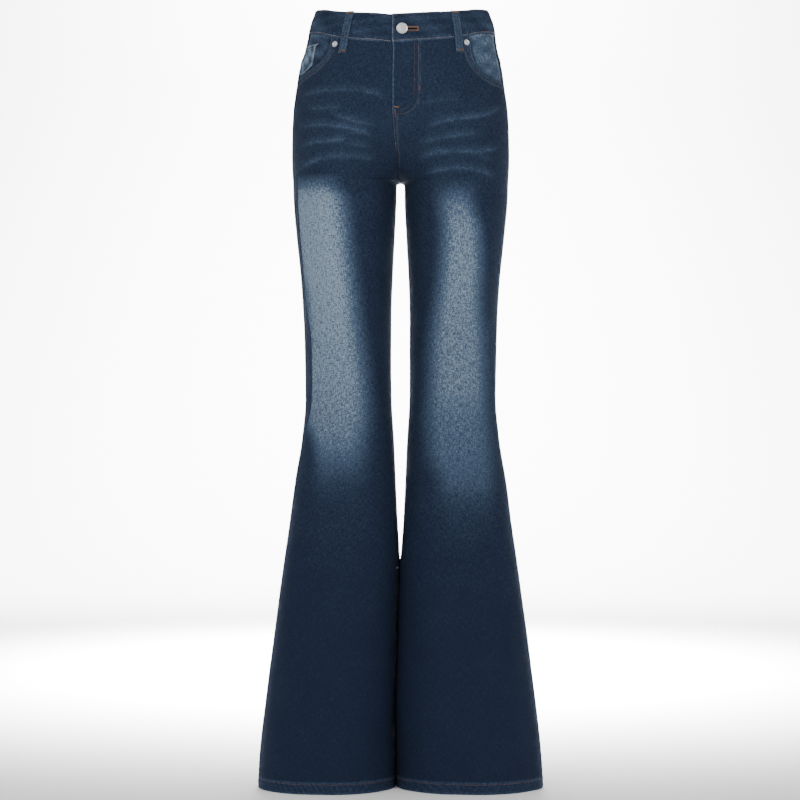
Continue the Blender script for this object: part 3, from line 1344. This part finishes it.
PHOTO = {"side": 800, "metres_per_pixel": 0.00142, "top_row": 27}
CAMERA_AWAY = 4.0
FLOOR = {"wide": 12, "deep": 11, "under": 0.0004, "wall_tall": 5, "sweep": 1.6}
WORLD_LIGHT = 0.7
MIDDLE = (0, 0, HEM_Z * MM / 2)
LIGHTS = listed(
    "name place target size power spread",
    ("key_light", (-1.6, -3.4, 1.5), MIDDLE, 2.2, 82, 180),
    ("fill_light", (2.2, -3.0, 0.5), MIDDLE, 2.4, 46, 180),
    ("backdrop_light", (0, 3.7, 2.3), (0, 5.1, -0.7), 2.0, 560, 110),
    ("floor_light", (0, 2.6, 1.5), (0, 1.7, -1.1), 1.2, 260, 46),
)


def set_camera():
    """A level camera in front, whose frame is the photograph's."""
    wide = PHOTO["side"] * PHOTO["metres_per_pixel"]
    height = (PHOTO["top_row"] - PHOTO["side"] / 2) * PHOTO["metres_per_pixel"]
    lens = bpy.data.cameras.new("camera")
    lens.sensor_width = 36
    lens.lens = lens.sensor_width * CAMERA_AWAY / wide
    camera = bpy.data.objects.new("camera", lens)
    camera.location = (0, -CAMERA_AWAY, height)
    camera.rotation_euler = (math.radians(90), 0, 0)
    bpy.context.scene.collection.objects.link(camera)
    bpy.context.scene.camera = camera


def add_light(name, place, target, size, power, spread):
    light = bpy.data.lights.new(name, "AREA")
    light.shape = "DISK"
    light.size = size
    light.energy = power
    light.spread = math.radians(spread)
    lamp = bpy.data.objects.new(name, light)
    lamp.location = place
    lamp.rotation_euler = (Vector(target) - Vector(place)).to_track_quat("-Z", "Y").to_euler()
    bpy.context.scene.collection.objects.link(lamp)


def soften(piece, width, segments, angle=30):
    """Rounds a piece's sharp edges, by a width in metres."""
    rounding = piece.modifiers.new("rounding", "BEVEL")
    rounding.width, rounding.segments, rounding.angle_limit = width, segments, math.radians(angle)
    bpy.ops.object.modifier_apply(modifier=rounding.name)
    bpy.ops.object.shade_smooth()


def pick(*pieces):
    """Selects only these pieces, with the first one active."""
    bpy.ops.object.select_all(action="DESELECT")
    for piece in pieces:
        piece.select_set(True)
    bpy.context.view_layer.objects.active = pieces[0]


def set_stage():
    """A pale floor that sweeps up into a backdrop, under soft studio light."""
    bpy.ops.object.select_all(action="DESELECT")
    bpy.ops.mesh.primitive_plane_add(size=1, location=(0, 0, HEM_Z * MM - FLOOR["under"]))
    floor = bpy.context.object
    floor.name = "floor"
    floor.scale = (FLOOR["wide"], FLOOR["deep"], 1)
    bpy.ops.object.transform_apply(location=True, rotation=True, scale=True)
    bpy.ops.object.mode_set(mode="EDIT")
    bpy.ops.mesh.select_all(action="DESELECT")
    bpy.ops.object.mode_set(mode="OBJECT")
    for edge in floor.data.edges:
        edge.select = all(floor.data.vertices[v].co.y > 0 for v in edge.vertices)
    bpy.ops.object.mode_set(mode="EDIT")
    bpy.ops.mesh.select_mode(type="EDGE")
    bpy.ops.mesh.extrude_region_move(TRANSFORM_OT_translate={"value": (0, 0, FLOOR["wall_tall"])})
    bpy.ops.object.mode_set(mode="OBJECT")
    soften(floor, FLOOR["sweep"], 16, 60)
    finish, _, surface = new_material("studio_paper")
    surface.inputs["Base Color"].default_value = (*colours().floor, 1)
    surface.inputs["Roughness"].default_value = 0.9
    surface.inputs["Specular IOR Level"].default_value = 0.1
    floor.data.materials.append(finish)
    for light in LIGHTS:
        add_light(**light)
    world = bpy.data.worlds.new("studio")
    world.use_nodes = True
    colour, strength = world.node_tree.nodes["Background"].inputs[:2]
    colour.default_value, strength.default_value = (1, 1, 1, 1), WORLD_LIGHT
    bpy.context.scene.world = world


# Sewing

def stitch_form():
    """One topstitch, a low pillow a millimetre long along X, from which all others are copied."""
    bpy.ops.object.select_all(action="DESELECT")
    bpy.ops.mesh.primitive_uv_sphere_add(segments=6, ring_count=4, radius=0.5)
    form = bpy.context.object
    bpy.ops.object.mode_set(mode="EDIT")
    bpy.ops.transform.rotate(value=math.radians(90), orient_axis="Y", center_override=(0, 0, 0))
    bpy.ops.object.mode_set(mode="OBJECT")
    points = np.array([v.co for v in form.data.vertices])
    faces = [tuple(face.vertices) for face in form.data.polygons]
    bpy.data.objects.remove(form)
    return points, faces


@made_once
def thread(name, colour):
    """Twisted sewing thread."""
    finish, nodes, surface = new_material(name)
    place = nodes.add("ShaderNodeTexCoord").outputs["Object"]
    rubbed_off = nodes.add("ShaderNodeTexNoise", Vector=place, Scale=90.0, Detail=2.0).outputs["Fac"]
    fibres = nodes.add("ShaderNodeTexNoise", Vector=place, Scale=2600.0, Detail=1.0).outputs["Fac"]
    light = tuple(min(1, c * 1.35) for c in colour)
    dark = tuple(c * 0.55 for c in colour)
    worn = nodes.spread(rubbed_off, 0.3, 0.7)
    nodes.put(surface.inputs["Base Color"], nodes.mix(worn, (*dark, 1), (*light, 1)))
    relief = nodes.add("ShaderNodeBump", Height=fibres, Strength=0.4, Distance=0.0002)
    nodes.put(surface.inputs["Normal"], relief.outputs["Normal"])
    surface.inputs["Roughness"].default_value = 0.7
    surface.inputs["Specular IOR Level"].default_value = 0.3
    return finish


def threads():
    """The brown, the pale and the dull thread."""
    return [thread(name, getattr(colours(), name)) for name in ("brown_thread", "pale_thread", "dull_thread")]


def evenly(points, normals, pitch):
    """Places a pitch apart along a line of points: their middles, directions and outward directions."""
    run = np.concatenate([[0], np.cumsum(np.linalg.norm(np.diff(points, axis=0), axis=1))])
    count = max(1, int(round(run[-1] / pitch)))
    at = (np.arange(count) + 0.5) * run[-1] / count

    def read(values, where):
        return np.stack([np.interp(where, run, values[:, axis]) for axis in range(3)], axis=1)

    half = pitch * 0.3
    along = read(points, np.minimum(at + half, run[-1])) - read(points, np.maximum(at - half, 0))
    return read(points, at), unit(along), unit(read(normals, at))


def sew(name, rows, bars, finish, slot):
    """Sews rows of stitches along lines of points, and bars of close stitches laid across short lines.
    A row is points and outward directions; a bar adds how long its stitches are."""
    form, faces = stitch_form()
    lengths = (sizes().stitch_length, sizes().stitch_gap, sizes().thread_width)
    length, gap, width = (value / MM for value in lengths)
    places = []
    for points, normals in rows:
        middle, along, out = evenly(points, normals, length + gap)
        places.append((middle, along, out, np.full(len(middle), length)))
    for points, normals, tall in bars:
        middle, along, out = evenly(points, normals, width * 0.8)
        across = unit(np.cross(out, along) + 0.16 * along)
        places.append((middle + out * 0.1, across, out, np.full(len(middle), float(tall))))
    middle, along, out, long = (np.concatenate(values) for values in zip(*places))
    over = unit(np.cross(out, along))
    out = np.cross(along, over)
    size = np.stack([long, np.full(len(long), width), np.full(len(long), width * 0.62)], axis=1)
    local = form[None] * size[:, None, :]
    points = middle[:, None] + local[..., :1] * along[:, None]
    points = points + local[..., 1:2] * over[:, None] + local[..., 2:] * out[:, None]
    points = points + out[:, None] * width * 0.32
    mesh = bpy.data.meshes.new(name)
    every = [tuple(v + stitch * len(form) for v in face) for stitch in range(len(points)) for face in faces]
    mesh.from_pydata(points.reshape(-1, 3) * MM, [], every)
    mesh.shade_smooth()
    mesh.materials.append(finish)
    piece = bpy.data.objects.new(name, mesh)
    bpy.context.scene.collection.objects.link(piece)
    belongs(piece, slot)
    return piece


def front_row(side, share, z):
    return front_face(side, share, z)[:2]


def front_row_at(x, z):
    """A line on the fronts by how far across and how high it runs."""
    side, turn = turn_at_x(True, x, z)
    return front_row(side, -turn, np.asarray(z, float))


def back_row(side, share, z):
    return back_face(side, share, z)[:2]


def stepping(start, end, step=2.0):
    return np.linspace(start, end, max(2, int(abs(end - start) / step) + 1))


def scoop_rows(side):
    """The two rows round a front pocket."""
    _, z, along = scoop_line(side)
    run_x, run_z = np.gradient(along), np.gradient(z)
    size = np.hypot(run_x, run_z)
    rows = []
    for inset in (EDGE_STITCH, SECOND_STITCH):
        row_along, row_z = along + inset * run_z / size, z - inset * run_x / size
        row_share = row_along / line_length(side, True, row_z)
        kept = (row_z < waist_seam(-row_share) - 1.5) & (row_along > 1.5)
        rows.append(front_row(np.full(kept.sum(), side), row_share[kept], row_z[kept]))
    return rows


# Bartacks at the foot of the fly and on its curve: two ends as places across and up, and a width.
FLY_BARS = [
    ((-8.6, -124), (-1, -124.8), 2.2),
    ((-6.8, -128), (-6.4, -139), 2),
    ((27.4, -95), (27.4, -101), 1.2),
]


def fly_rows():
    """The curved double row that holds the fly's facing, and the double row down the seam below it."""
    rows = []
    for x_name, end_name in (("x", "end_z"), ("inner_x", "inner_end_z")):
        wide, bend, end = FLY_STITCH[x_name], FLY_STITCH["bend_z"], FLY_STITCH[end_name]
        turn = np.radians(np.arange(0, 90, 4))
        z = np.concatenate([stepping(-34, bend)[:-1], bend + (end - bend) * np.sin(turn)])
        x = np.concatenate([np.full(len(z) - len(turn), wide), wide * np.cos(turn)])
        if x_name == "x":
            z, x = np.append(z, [end - 0.4, end - 0.8]), np.append(x, [-3, -7.5])
        rows.append(front_row_at(x, z))
    for away in (EDGE_STITCH, FELL_STITCH):
        z = stepping(FLY_STITCH["end_z"] - 3, CROTCH_Z + 4)
        rows.append(front_row(np.ones(len(z)), 1 - away / line_length(1, True, z), z))
    return rows


def bar(start, end, wide):
    """A bartack on the fronts between two places, each how far across and how high: its stitches lie close
    together across that line."""
    points, normals = front_row_at(np.linspace(start[0], end[0], 7), np.linspace(start[1], end[1], 7))
    return points, normals, wide


def hem_row(side, front):
    share = np.linspace(0.006, 0.994, 120)
    z = np.full(len(share), HEM_Z + HEM_STITCH)
    return (front_row if front else back_row)(np.full(len(share), side), share, z)


def yoke_rows(side):
    """Two rows on the yoke along its seam, and one down the side seam's top."""
    share = np.linspace(0.012, 0.988, 60)
    rows = []
    for away in (EDGE_STITCH, FELL_STITCH):
        rows.append(back_row(np.full(60, side), share, yoke_seam(share) + away))
    z = stepping(-16, -116)
    z = z[np.abs(z - yoke_seam(0)) > 1.5]
    rows.append(back_row(np.full(len(z), side), EDGE_STITCH / line_length(side, False, z), z))
    return rows


def rise_rows():
    """The double row down the back's centre seam."""
    rows = []
    for away in (EDGE_STITCH, FELL_STITCH):
        z = stepping(-15, CROTCH_Z + 3)
        rows.append(back_row(np.ones(len(z)), 1 - away / line_length(1, False, z), z))
    return rows


def back_pocket_rows(side):
    """The double row round a back pocket, and the row of its hem."""
    rows = []
    for inset in (EDGE_STITCH, BACK_POCKET_STITCH):
        down_end = 1 - inset / (BACK_POCKET_FOOT * BACK_POCKET["tall"])
        down = np.linspace(0.015, down_end, 30)
        beside = 1 - inset / back_pocket_half(down)
        under = np.linspace(-beside[-1], beside[-1], 31)[1:-1]
        drop = back_pocket_drop(under)
        wide = np.concatenate([-beside, under, beside[::-1]])
        deep = np.concatenate([down, 1 - inset / (BACK_POCKET_FOOT * drop), down[::-1]])
        rows.append(back_pocket_face(side, wide, deep)[:2])
    wide = np.linspace(-0.985, 0.985, 30)
    deep = (BACK_POCKET_HEM - 2) / back_pocket_drop(wide)
    return [*rows, back_pocket_face(side, wide, deep)[:2]]


def coin_rows():
    """The row along the coin pocket's free edge and the two rows of its hem."""
    z = np.linspace(COIN_TOP - 1, COIN_END + 1, 24)
    rows = [coin_face(1 - EDGE_STITCH / look(COIN_POCKET, "z", "wide", z), z)[:2]]
    for under in (2.0, 6.0):
        part = np.linspace(0.05, 0.93, 16)
        rows.append(coin_face(part, np.full(16, COIN_TOP - under))[:2])
    return rows


def band_row(inset, at_top):
    """A row along the waistband's top edge or its seam."""
    side, turn, _, out = band_line(0)
    kept = (side < 0) | (turn > 0) | (out > 0)
    side, turn, out = side[kept], turn[kept], out[kept]
    z = waist_top(turn) - inset if at_top else waist_seam(turn) + inset
    return band_face(side, turn, z, out)[:2]


def band_end_row(inset):
    z = np.linspace(waist_top(-1) - BAND_STITCH, waist_seam(-1) + BAND_STITCH, 16)
    return band_face(1.0, inset / line_length(1, True, z) - 1, z, BAND_PROUD)[:2]


def band_bar(start, end, wide):
    """A bartack or a buttonhole's side on the band, between two places across and up."""
    x, z = np.linspace(start[0], end[0], 9), np.linspace(start[1], end[1], 9)
    side, turn = turn_at_x(True, x, z)
    points, normals, _, _ = band_face(side, turn, z, BAND_PROUD)
    return points, normals, wide


def loop_rows(loop):
    """The two rows down a belt loop, and its bartacks at the top and the bottom."""
    along, rows = np.linspace(0.03, 0.97, 24), []
    beside = 1 - 2 * LOOP_STITCH / LOOP_WIDTH
    for part in (-beside, beside):
        rows.append(loop_face(loop, np.full(24, part), along)[:2])
    bars = []
    for at in (2.6 / (loop["top"] - loop["bottom"]), 1 - 2.8 / (loop["top"] - loop["bottom"])):
        points, normals = loop_face(loop, np.linspace(-0.86, 0.86, 9), np.full(9, at))[:2]
        bars.append((points, normals, 3.2))
    return rows, bars


# Button, rivets and zip

BUTTON = {"head": 15.4, "shank": 4.4, "tall": 2.6, "foot": -2.55, "into_head": 0.4}
BUTTON_TURNED = [(1.0, 0), (0.3, -0.9), (2.6, 0.35)]
BUTTONHOLE = {"length": 21, "height": 1.8, "eye": 2.6, "deep": 7.5, "from": -2.65}
RIVET = {"width": 8.4, "tall": 1.2}
RIVET_TURNED = [(1.2, 0), (0.5, -0.25), (0.9, 0), (0.2, 0.8)]
RIVETS = {"right": {"x": -90.2, "z": -34.3}, "left": {"x": 92.4, "z": -31.9}}
ZIP = {
    "middle": 6, "stagger": 0.4, "out": -2.7, "pitch": 1.9,
    "tooth_wide": 4.4, "tooth_tall": 1.1, "tooth_deep": 1.7,
}
SLIDER_X = 5.6
SLIDER = listed(
    "name wide deep tall rounding z out",
    ("slider_body", 8.6, 1.2, 9, 0.4, -50.6, -3.3),
    ("slider_pull", 4.6, 0.7, 15, 0.3, -44, -2.25),
)


@made_once
def metal(name):
    """Satin silver, faintly scuffed."""
    finish, nodes, surface = new_material(name)
    place = nodes.add("ShaderNodeTexCoord").outputs["Object"]
    scuffs = nodes.add("ShaderNodeTexNoise", Vector=place, Scale=900.0, Detail=3.0).outputs["Fac"]
    surface.inputs["Base Color"].default_value = (*colours().silver, 1)
    surface.inputs["Metallic"].default_value = 1
    nodes.put(surface.inputs["Roughness"], nodes.math("MULTIPLY_ADD", scuffs, 0.12, 0.22))
    relief = nodes.add("ShaderNodeBump", Height=scuffs, Strength=0.06, Distance=0.0001)
    nodes.put(surface.inputs["Normal"], relief.outputs["Normal"])
    return finish


def pick_faces(piece, chosen):
    """Selects the faces that a test chooses, in edit mode."""
    bpy.ops.object.mode_set(mode="OBJECT")
    for face in piece.data.polygons:
        face.select = bool(chosen(face))
    for edge in piece.data.edges:
        edge.select = False
    for point in piece.data.vertices:
        point.select = False
    bpy.ops.object.mode_set(mode="EDIT")
    bpy.ops.mesh.select_mode(type="FACE")


def disc(name, width, tall, rounds, sides, rounding):
    """A turned metal piece that starts as a cylinder on the ground. Each round insets its top face by so much
    and then moves it up or down."""
    bpy.ops.object.select_all(action="DESELECT")
    bpy.ops.mesh.primitive_cylinder_add(
        vertices=sides, radius=width / 2 * MM, depth=tall * MM, location=(0, 0, tall / 2 * MM))
    piece = bpy.context.object
    piece.name = piece.data.name = name
    bpy.ops.object.transform_apply(location=True, rotation=True, scale=True)
    pick_faces(piece, lambda face: face.normal.z > 0.9)
    for inset, up in rounds:
        bpy.ops.mesh.inset(thickness=inset * MM, depth=up * MM)
    bpy.ops.object.mode_set(mode="OBJECT")
    soften(piece, rounding * MM, 3, 22)
    return piece


def twin(first):
    """A second piece of the same shape."""
    piece = first.copy()
    piece.data = first.data.copy()
    bpy.context.scene.collection.objects.link(piece)
    return piece


def put_on_front(piece, x, z, out, facing, forward, up):
    """Turns a piece's forward axis out of the front, or into it, and sets the piece there."""
    side, turn = turn_at_x(True, x, z)
    points, normals = cloth(side, turn, np.full(1, float(z)), out)
    piece.location = Vector(points[0] * MM)
    piece.rotation_euler = Vector(facing * normals[0]).to_track_quat(forward, up).to_euler()
    pick(piece)
    bpy.ops.object.transform_apply(location=True, rotation=True, scale=True)


def seat(piece, x, z, out):
    """Sets a piece that was made on the ground onto the front, facing out."""
    put_on_front(piece, x, z, out, 1, "Z", "Y")


def make_button():
    piece = disc("button_metal", BUTTON["head"], BUTTON["tall"], BUTTON_TURNED, 56, 0.3)
    bpy.ops.object.mode_set(mode="EDIT")
    low, high = BUTTON["foot"] * MM, BUTTON["into_head"] * MM
    bpy.ops.mesh.primitive_cylinder_add(
        vertices=24, radius=BUTTON["shank"] / 2 * MM, depth=high - low, location=(0, 0, (low + high) / 2))
    bpy.ops.object.mode_set(mode="OBJECT")
    seat(piece, BUTTON_PLACE["x"], BUTTON_PLACE["z"], BAND_PROUD + LAYER_GAP)
    piece.data.materials.append(metal("silver_button"))
    belongs(piece, "silver_metal", "button")


def make_rivets():
    first = disc("rivet_metal", RIVET["width"], RIVET["tall"], RIVET_TURNED, 36, 0.22)
    for name, place in RIVETS.items():
        piece = twin(first)
        piece.name = f"rivet_{name}_metal"
        seat(piece, place["x"], place["z"], 0.4)
        piece.data.materials.append(metal("silver_rivet"))
        belongs(piece, "silver_metal", f"rivet_{name}")
    bpy.data.objects.remove(first)


def block(name, wide, deep, tall, rounding):
    """A metal block with soft edges, its middle at the origin."""
    bpy.ops.object.select_all(action="DESELECT")
    bpy.ops.mesh.primitive_cube_add(size=1, location=(0, 0, 0))
    piece = bpy.context.object
    piece.name = piece.data.name = name
    piece.scale = (wide * MM, deep * MM, tall * MM)
    bpy.ops.object.transform_apply(location=True, rotation=True, scale=True)
    soften(piece, rounding * MM, 2)
    return piece


def gather(name, pieces, finish):
    """Joins pieces into one mesh."""
    pick(*pieces)
    bpy.ops.object.join()
    whole = bpy.context.object
    whole.name = whole.data.name = name
    whole.data.materials.append(finish)
    return whole


def stand(piece, x, z, out):
    """Stands a block upright behind the front, its depth along the direction out."""
    put_on_front(piece, x, z, out, -1, "Y", "Z")


def make_zip():
    """The zip's slider with its pull, and its closed teeth down the middle of the tape."""
    parts = []
    for row in SLIDER:
        parts.append(block(row["name"], row["wide"], row["deep"], row["tall"], row["rounding"]))
        stand(parts[-1], SLIDER_X, row["z"], row["out"])
    slider = gather("zip_slider_metal", parts, metal("silver_zip"))
    belongs(slider, "silver_metal", "zip_slider")
    first = block("zip_tooth", ZIP["tooth_wide"], ZIP["tooth_deep"], ZIP["tooth_tall"], 0.2)
    strip, teeth = FLY_STRIPS["zip_tape"], []
    for z in np.arange(strip["top"] - 1, strip["bottom"] + 1, -ZIP["pitch"]):
        tooth = twin(first)
        stand(tooth, ZIP["middle"] + ZIP["stagger"] * (-1) ** len(teeth), z, ZIP["out"])
        teeth.append(tooth)
    bpy.data.objects.remove(first)
    belongs(gather("zip_teeth_metal", teeth, metal("silver_zip")), "silver_metal")


def cut_buttonhole(band):
    """Cuts the keyhole slot through the band's upper end: a round eye and a slit."""
    side, turn = turn_at_x(True, BUTTON_PLACE["x"], BUTTON_PLACE["z"])
    middle, _ = cloth(side, turn, np.full(1, float(BUTTON_PLACE["z"])), 0)
    x, y, z = middle[0] - np.array([0, BAND_PROUD + BUTTONHOLE["from"] + BUTTONHOLE["deep"] / 2, 0])
    bpy.ops.object.select_all(action="DESELECT")
    bpy.ops.mesh.primitive_cylinder_add(
        vertices=28, radius=BUTTONHOLE["eye"] * MM, depth=BUTTONHOLE["deep"] * MM,
        location=(x * MM, y * MM, z * MM), rotation=(math.radians(90), 0, 0))
    eye = bpy.context.object
    bpy.ops.mesh.primitive_cube_add(size=1, location=((x + BUTTONHOLE["length"] / 2) * MM, y * MM, z * MM))
    slit = bpy.context.object
    slit.scale = tuple(v * MM for v in (BUTTONHOLE["length"], BUTTONHOLE["deep"], BUTTONHOLE["height"]))
    for tool in (eye, slit):
        pick(band)
        cut = band.modifiers.new("buttonhole", "BOOLEAN")
        cut.object, cut.operation, cut.solver = tool, "DIFFERENCE", "EXACT"
        bpy.ops.object.modifier_apply(modifier=cut.name)
        bpy.data.objects.remove(tool)


# Operators

SIDES = (1.0, -1.0)


class JEANS_OT_fronts(bpy.types.Operator):
    """Cuts the two front panels, with their scooped pocket edges, whiskers and fades."""

    bl_idname = "jeans.fronts"
    bl_label = "Front panels"

    def execute(self, context):
        finish = denim("front_twill", colours())
        for side in SIDES:
            piece = make_front(side, finish)
        return {"FINISHED"}


class JEANS_OT_backs(bpy.types.Operator):
    """Cuts the two back panels and the two halves of the yoke."""

    bl_idname = "jeans.backs"
    bl_label = "Back panels and yokes"

    def execute(self, context):
        finish = denim("back_twill", colours())
        for side in SIDES:
            piece = make_back(side, finish)
            piece = make_yoke(side, finish)
        return {"FINISHED"}


class JEANS_OT_pockets(bpy.types.Operator):
    """Makes the pocket facings, the coin pocket and the patch pockets on the seat."""

    bl_idname = "jeans.pockets"
    bl_label = "Pockets"

    def execute(self, context):
        facing = denim("facing_twill", colours(), mottle=0.12)
        coin = denim("coin_pocket_twill", colours(), mottle=0.2)
        patch = denim("back_pocket_twill", colours())
        for side in SIDES:
            make_facing(side, facing)
            make_back_pocket(side, patch)
        make_coin_pocket(coin)
        return {"FINISHED"}


class JEANS_OT_waistband(bpy.types.Operator):
    """Makes the waistband, lapped at the fly, and its belt loops."""

    bl_idname = "jeans.waistband"
    bl_label = "Waistband and belt loops"

    def execute(self, context):
        finish = denim("band_twill", colours(), mottle=0.1)
        band = make_waistband(finish)
        cut_buttonhole(band)
        for loop in BELT_LOOPS:
            make_belt_loop(loop, finish)
        return {"FINISHED"}


class JEANS_OT_fly(bpy.types.Operator):
    """Makes the shield and the zip's tape behind the fly."""

    bl_idname = "jeans.fly"
    bl_label = "Fly shield and zip"

    def execute(self, context):
        finish = denim("fly_twill", colours())
        for name, strip in FLY_STRIPS.items():
            piece = make_fly_strip(name, finish)
        make_zip()
        return {"FINISHED"}


class JEANS_OT_metal(bpy.types.Operator):
    """Turns the waist button and the two pocket rivets."""

    bl_idname = "jeans.metal"
    bl_label = "Button and rivets"

    def execute(self, context):
        make_button()
        make_rivets()
        return {"FINISHED"}


class JEANS_OT_front_sewing(bpy.types.Operator):
    """Sews the pocket scoops, the fly, the centre seam, the coin pocket and the front hems."""

    bl_idname = "jeans.front_sewing"
    bl_label = "Sewing on the fronts"

    def execute(self, context):
        brown, pale, dull = threads()
        curve, inner_curve, *seam = fly_rows()
        bars = [bar(*row) for row in FLY_BARS]
        rows, edge_rows = [curve], [inner_curve, *seam]
        for side in SIDES:
            at_edge, beside = scoop_rows(side)
            rows += [beside, hem_row(side, True)]
            edge_rows.append(at_edge)
        sew("front_topstitching", rows, bars, brown, "front_denim")
        sew("front_edge_topstitching", edge_rows, [], dull, "front_denim")
        sew("coin_pocket_topstitching", coin_rows(), [], pale, "worn_denim")
        return {"FINISHED"}


class JEANS_OT_back_sewing(bpy.types.Operator):
    """Sews the yokes, the centre seam, the back pockets and the back hems."""

    bl_idname = "jeans.back_sewing"
    bl_label = "Sewing on the backs"

    def execute(self, context):
        rows = rise_rows()
        for side in SIDES:
            rows += [*yoke_rows(side), *back_pocket_rows(side), hem_row(side, False)]
        sew("back_topstitching", rows, [], threads()[0], "back_denim")
        return {"FINISHED"}


class JEANS_OT_waist_sewing(bpy.types.Operator):
    """Sews the waistband's edges, the buttonhole and the belt loops."""

    bl_idname = "jeans.waist_sewing"
    bl_label = "Sewing round the waist"

    def execute(self, context):
        brown, pale, dull = threads()
        x, z = BUTTON_PLACE["x"], BUTTON_PLACE["z"]
        end, off = x + BUTTONHOLE["length"], BUTTONHOLE["height"] / 2 + 1.5
        bars = [
            band_bar((x + 3, z + off), (end, z + off), 2.8), band_bar((x + 3, z - off), (end, z - off), 2.8),
            band_bar((end + 1.2, z + 3.4), (end + 1.2, z - 3.4), 2.2)]
        rows = [band_row(BAND_STITCH, True)]
        for loop in BELT_LOOPS:
            loop_lines, loop_bars = loop_rows(loop)
            rows, bars = rows + loop_lines, bars + loop_bars
        sew("waist_bartacks", [band_end_row(BAND_STITCH)], bars, brown, "band_denim")
        sew("waist_topstitching", rows, [], dull, "band_denim")
        sew("waist_seam_topstitching", [band_row(BAND_STITCH, False)], [], pale, "band_denim")
        return {"FINISHED"}


class JEANS_OT_stage(bpy.types.Operator):
    """Sets the camera, the floor with its backdrop and the studio light."""

    bl_idname = "jeans.stage"
    bl_label = "Stage"

    def execute(self, context):
        set_camera()
        set_stage()
        return {"FINISHED"}


class JEANS_PT_sidebar(bpy.types.Panel):
    """Lists the jeans' settings and pieces."""

    bl_idname = "JEANS_PT_sidebar"
    bl_label = "Flared jeans"
    bl_space_type = "VIEW_3D"
    bl_region_type = "UI"
    bl_category = "Jeans"

    def draw(self, context):
        for settings in (context.scene.jeans_sizes, context.scene.jeans_colours):
            box = self.layout.box()
            for name in settings.__annotations__:
                box.prop(settings, name)
        for operator in PIECES:
            self.layout.operator(operator.bl_idname)


PIECES = (
    JEANS_OT_stage, JEANS_OT_fronts, JEANS_OT_backs, JEANS_OT_pockets, JEANS_OT_waistband, JEANS_OT_fly,
    JEANS_OT_metal, JEANS_OT_front_sewing, JEANS_OT_back_sewing, JEANS_OT_waist_sewing,
)
CLASSES = (JeansSizes, JeansColours, *PIECES, JEANS_PT_sidebar)


def register():
    for each in CLASSES:
        bpy.utils.register_class(each)
    bpy.types.Scene.jeans_sizes = bpy.props.PointerProperty(type=JeansSizes)
    bpy.types.Scene.jeans_colours = bpy.props.PointerProperty(type=JeansColours)


def unregister():
    del bpy.types.Scene.jeans_sizes
    del bpy.types.Scene.jeans_colours
    for each in reversed(CLASSES):
        bpy.utils.unregister_class(each)


def main():
    register()
    for operator in PIECES:
        group, name = operator.bl_idname.split(".")
        getattr(getattr(bpy.ops, group), name)()


if __name__ == "__main__":
    main()
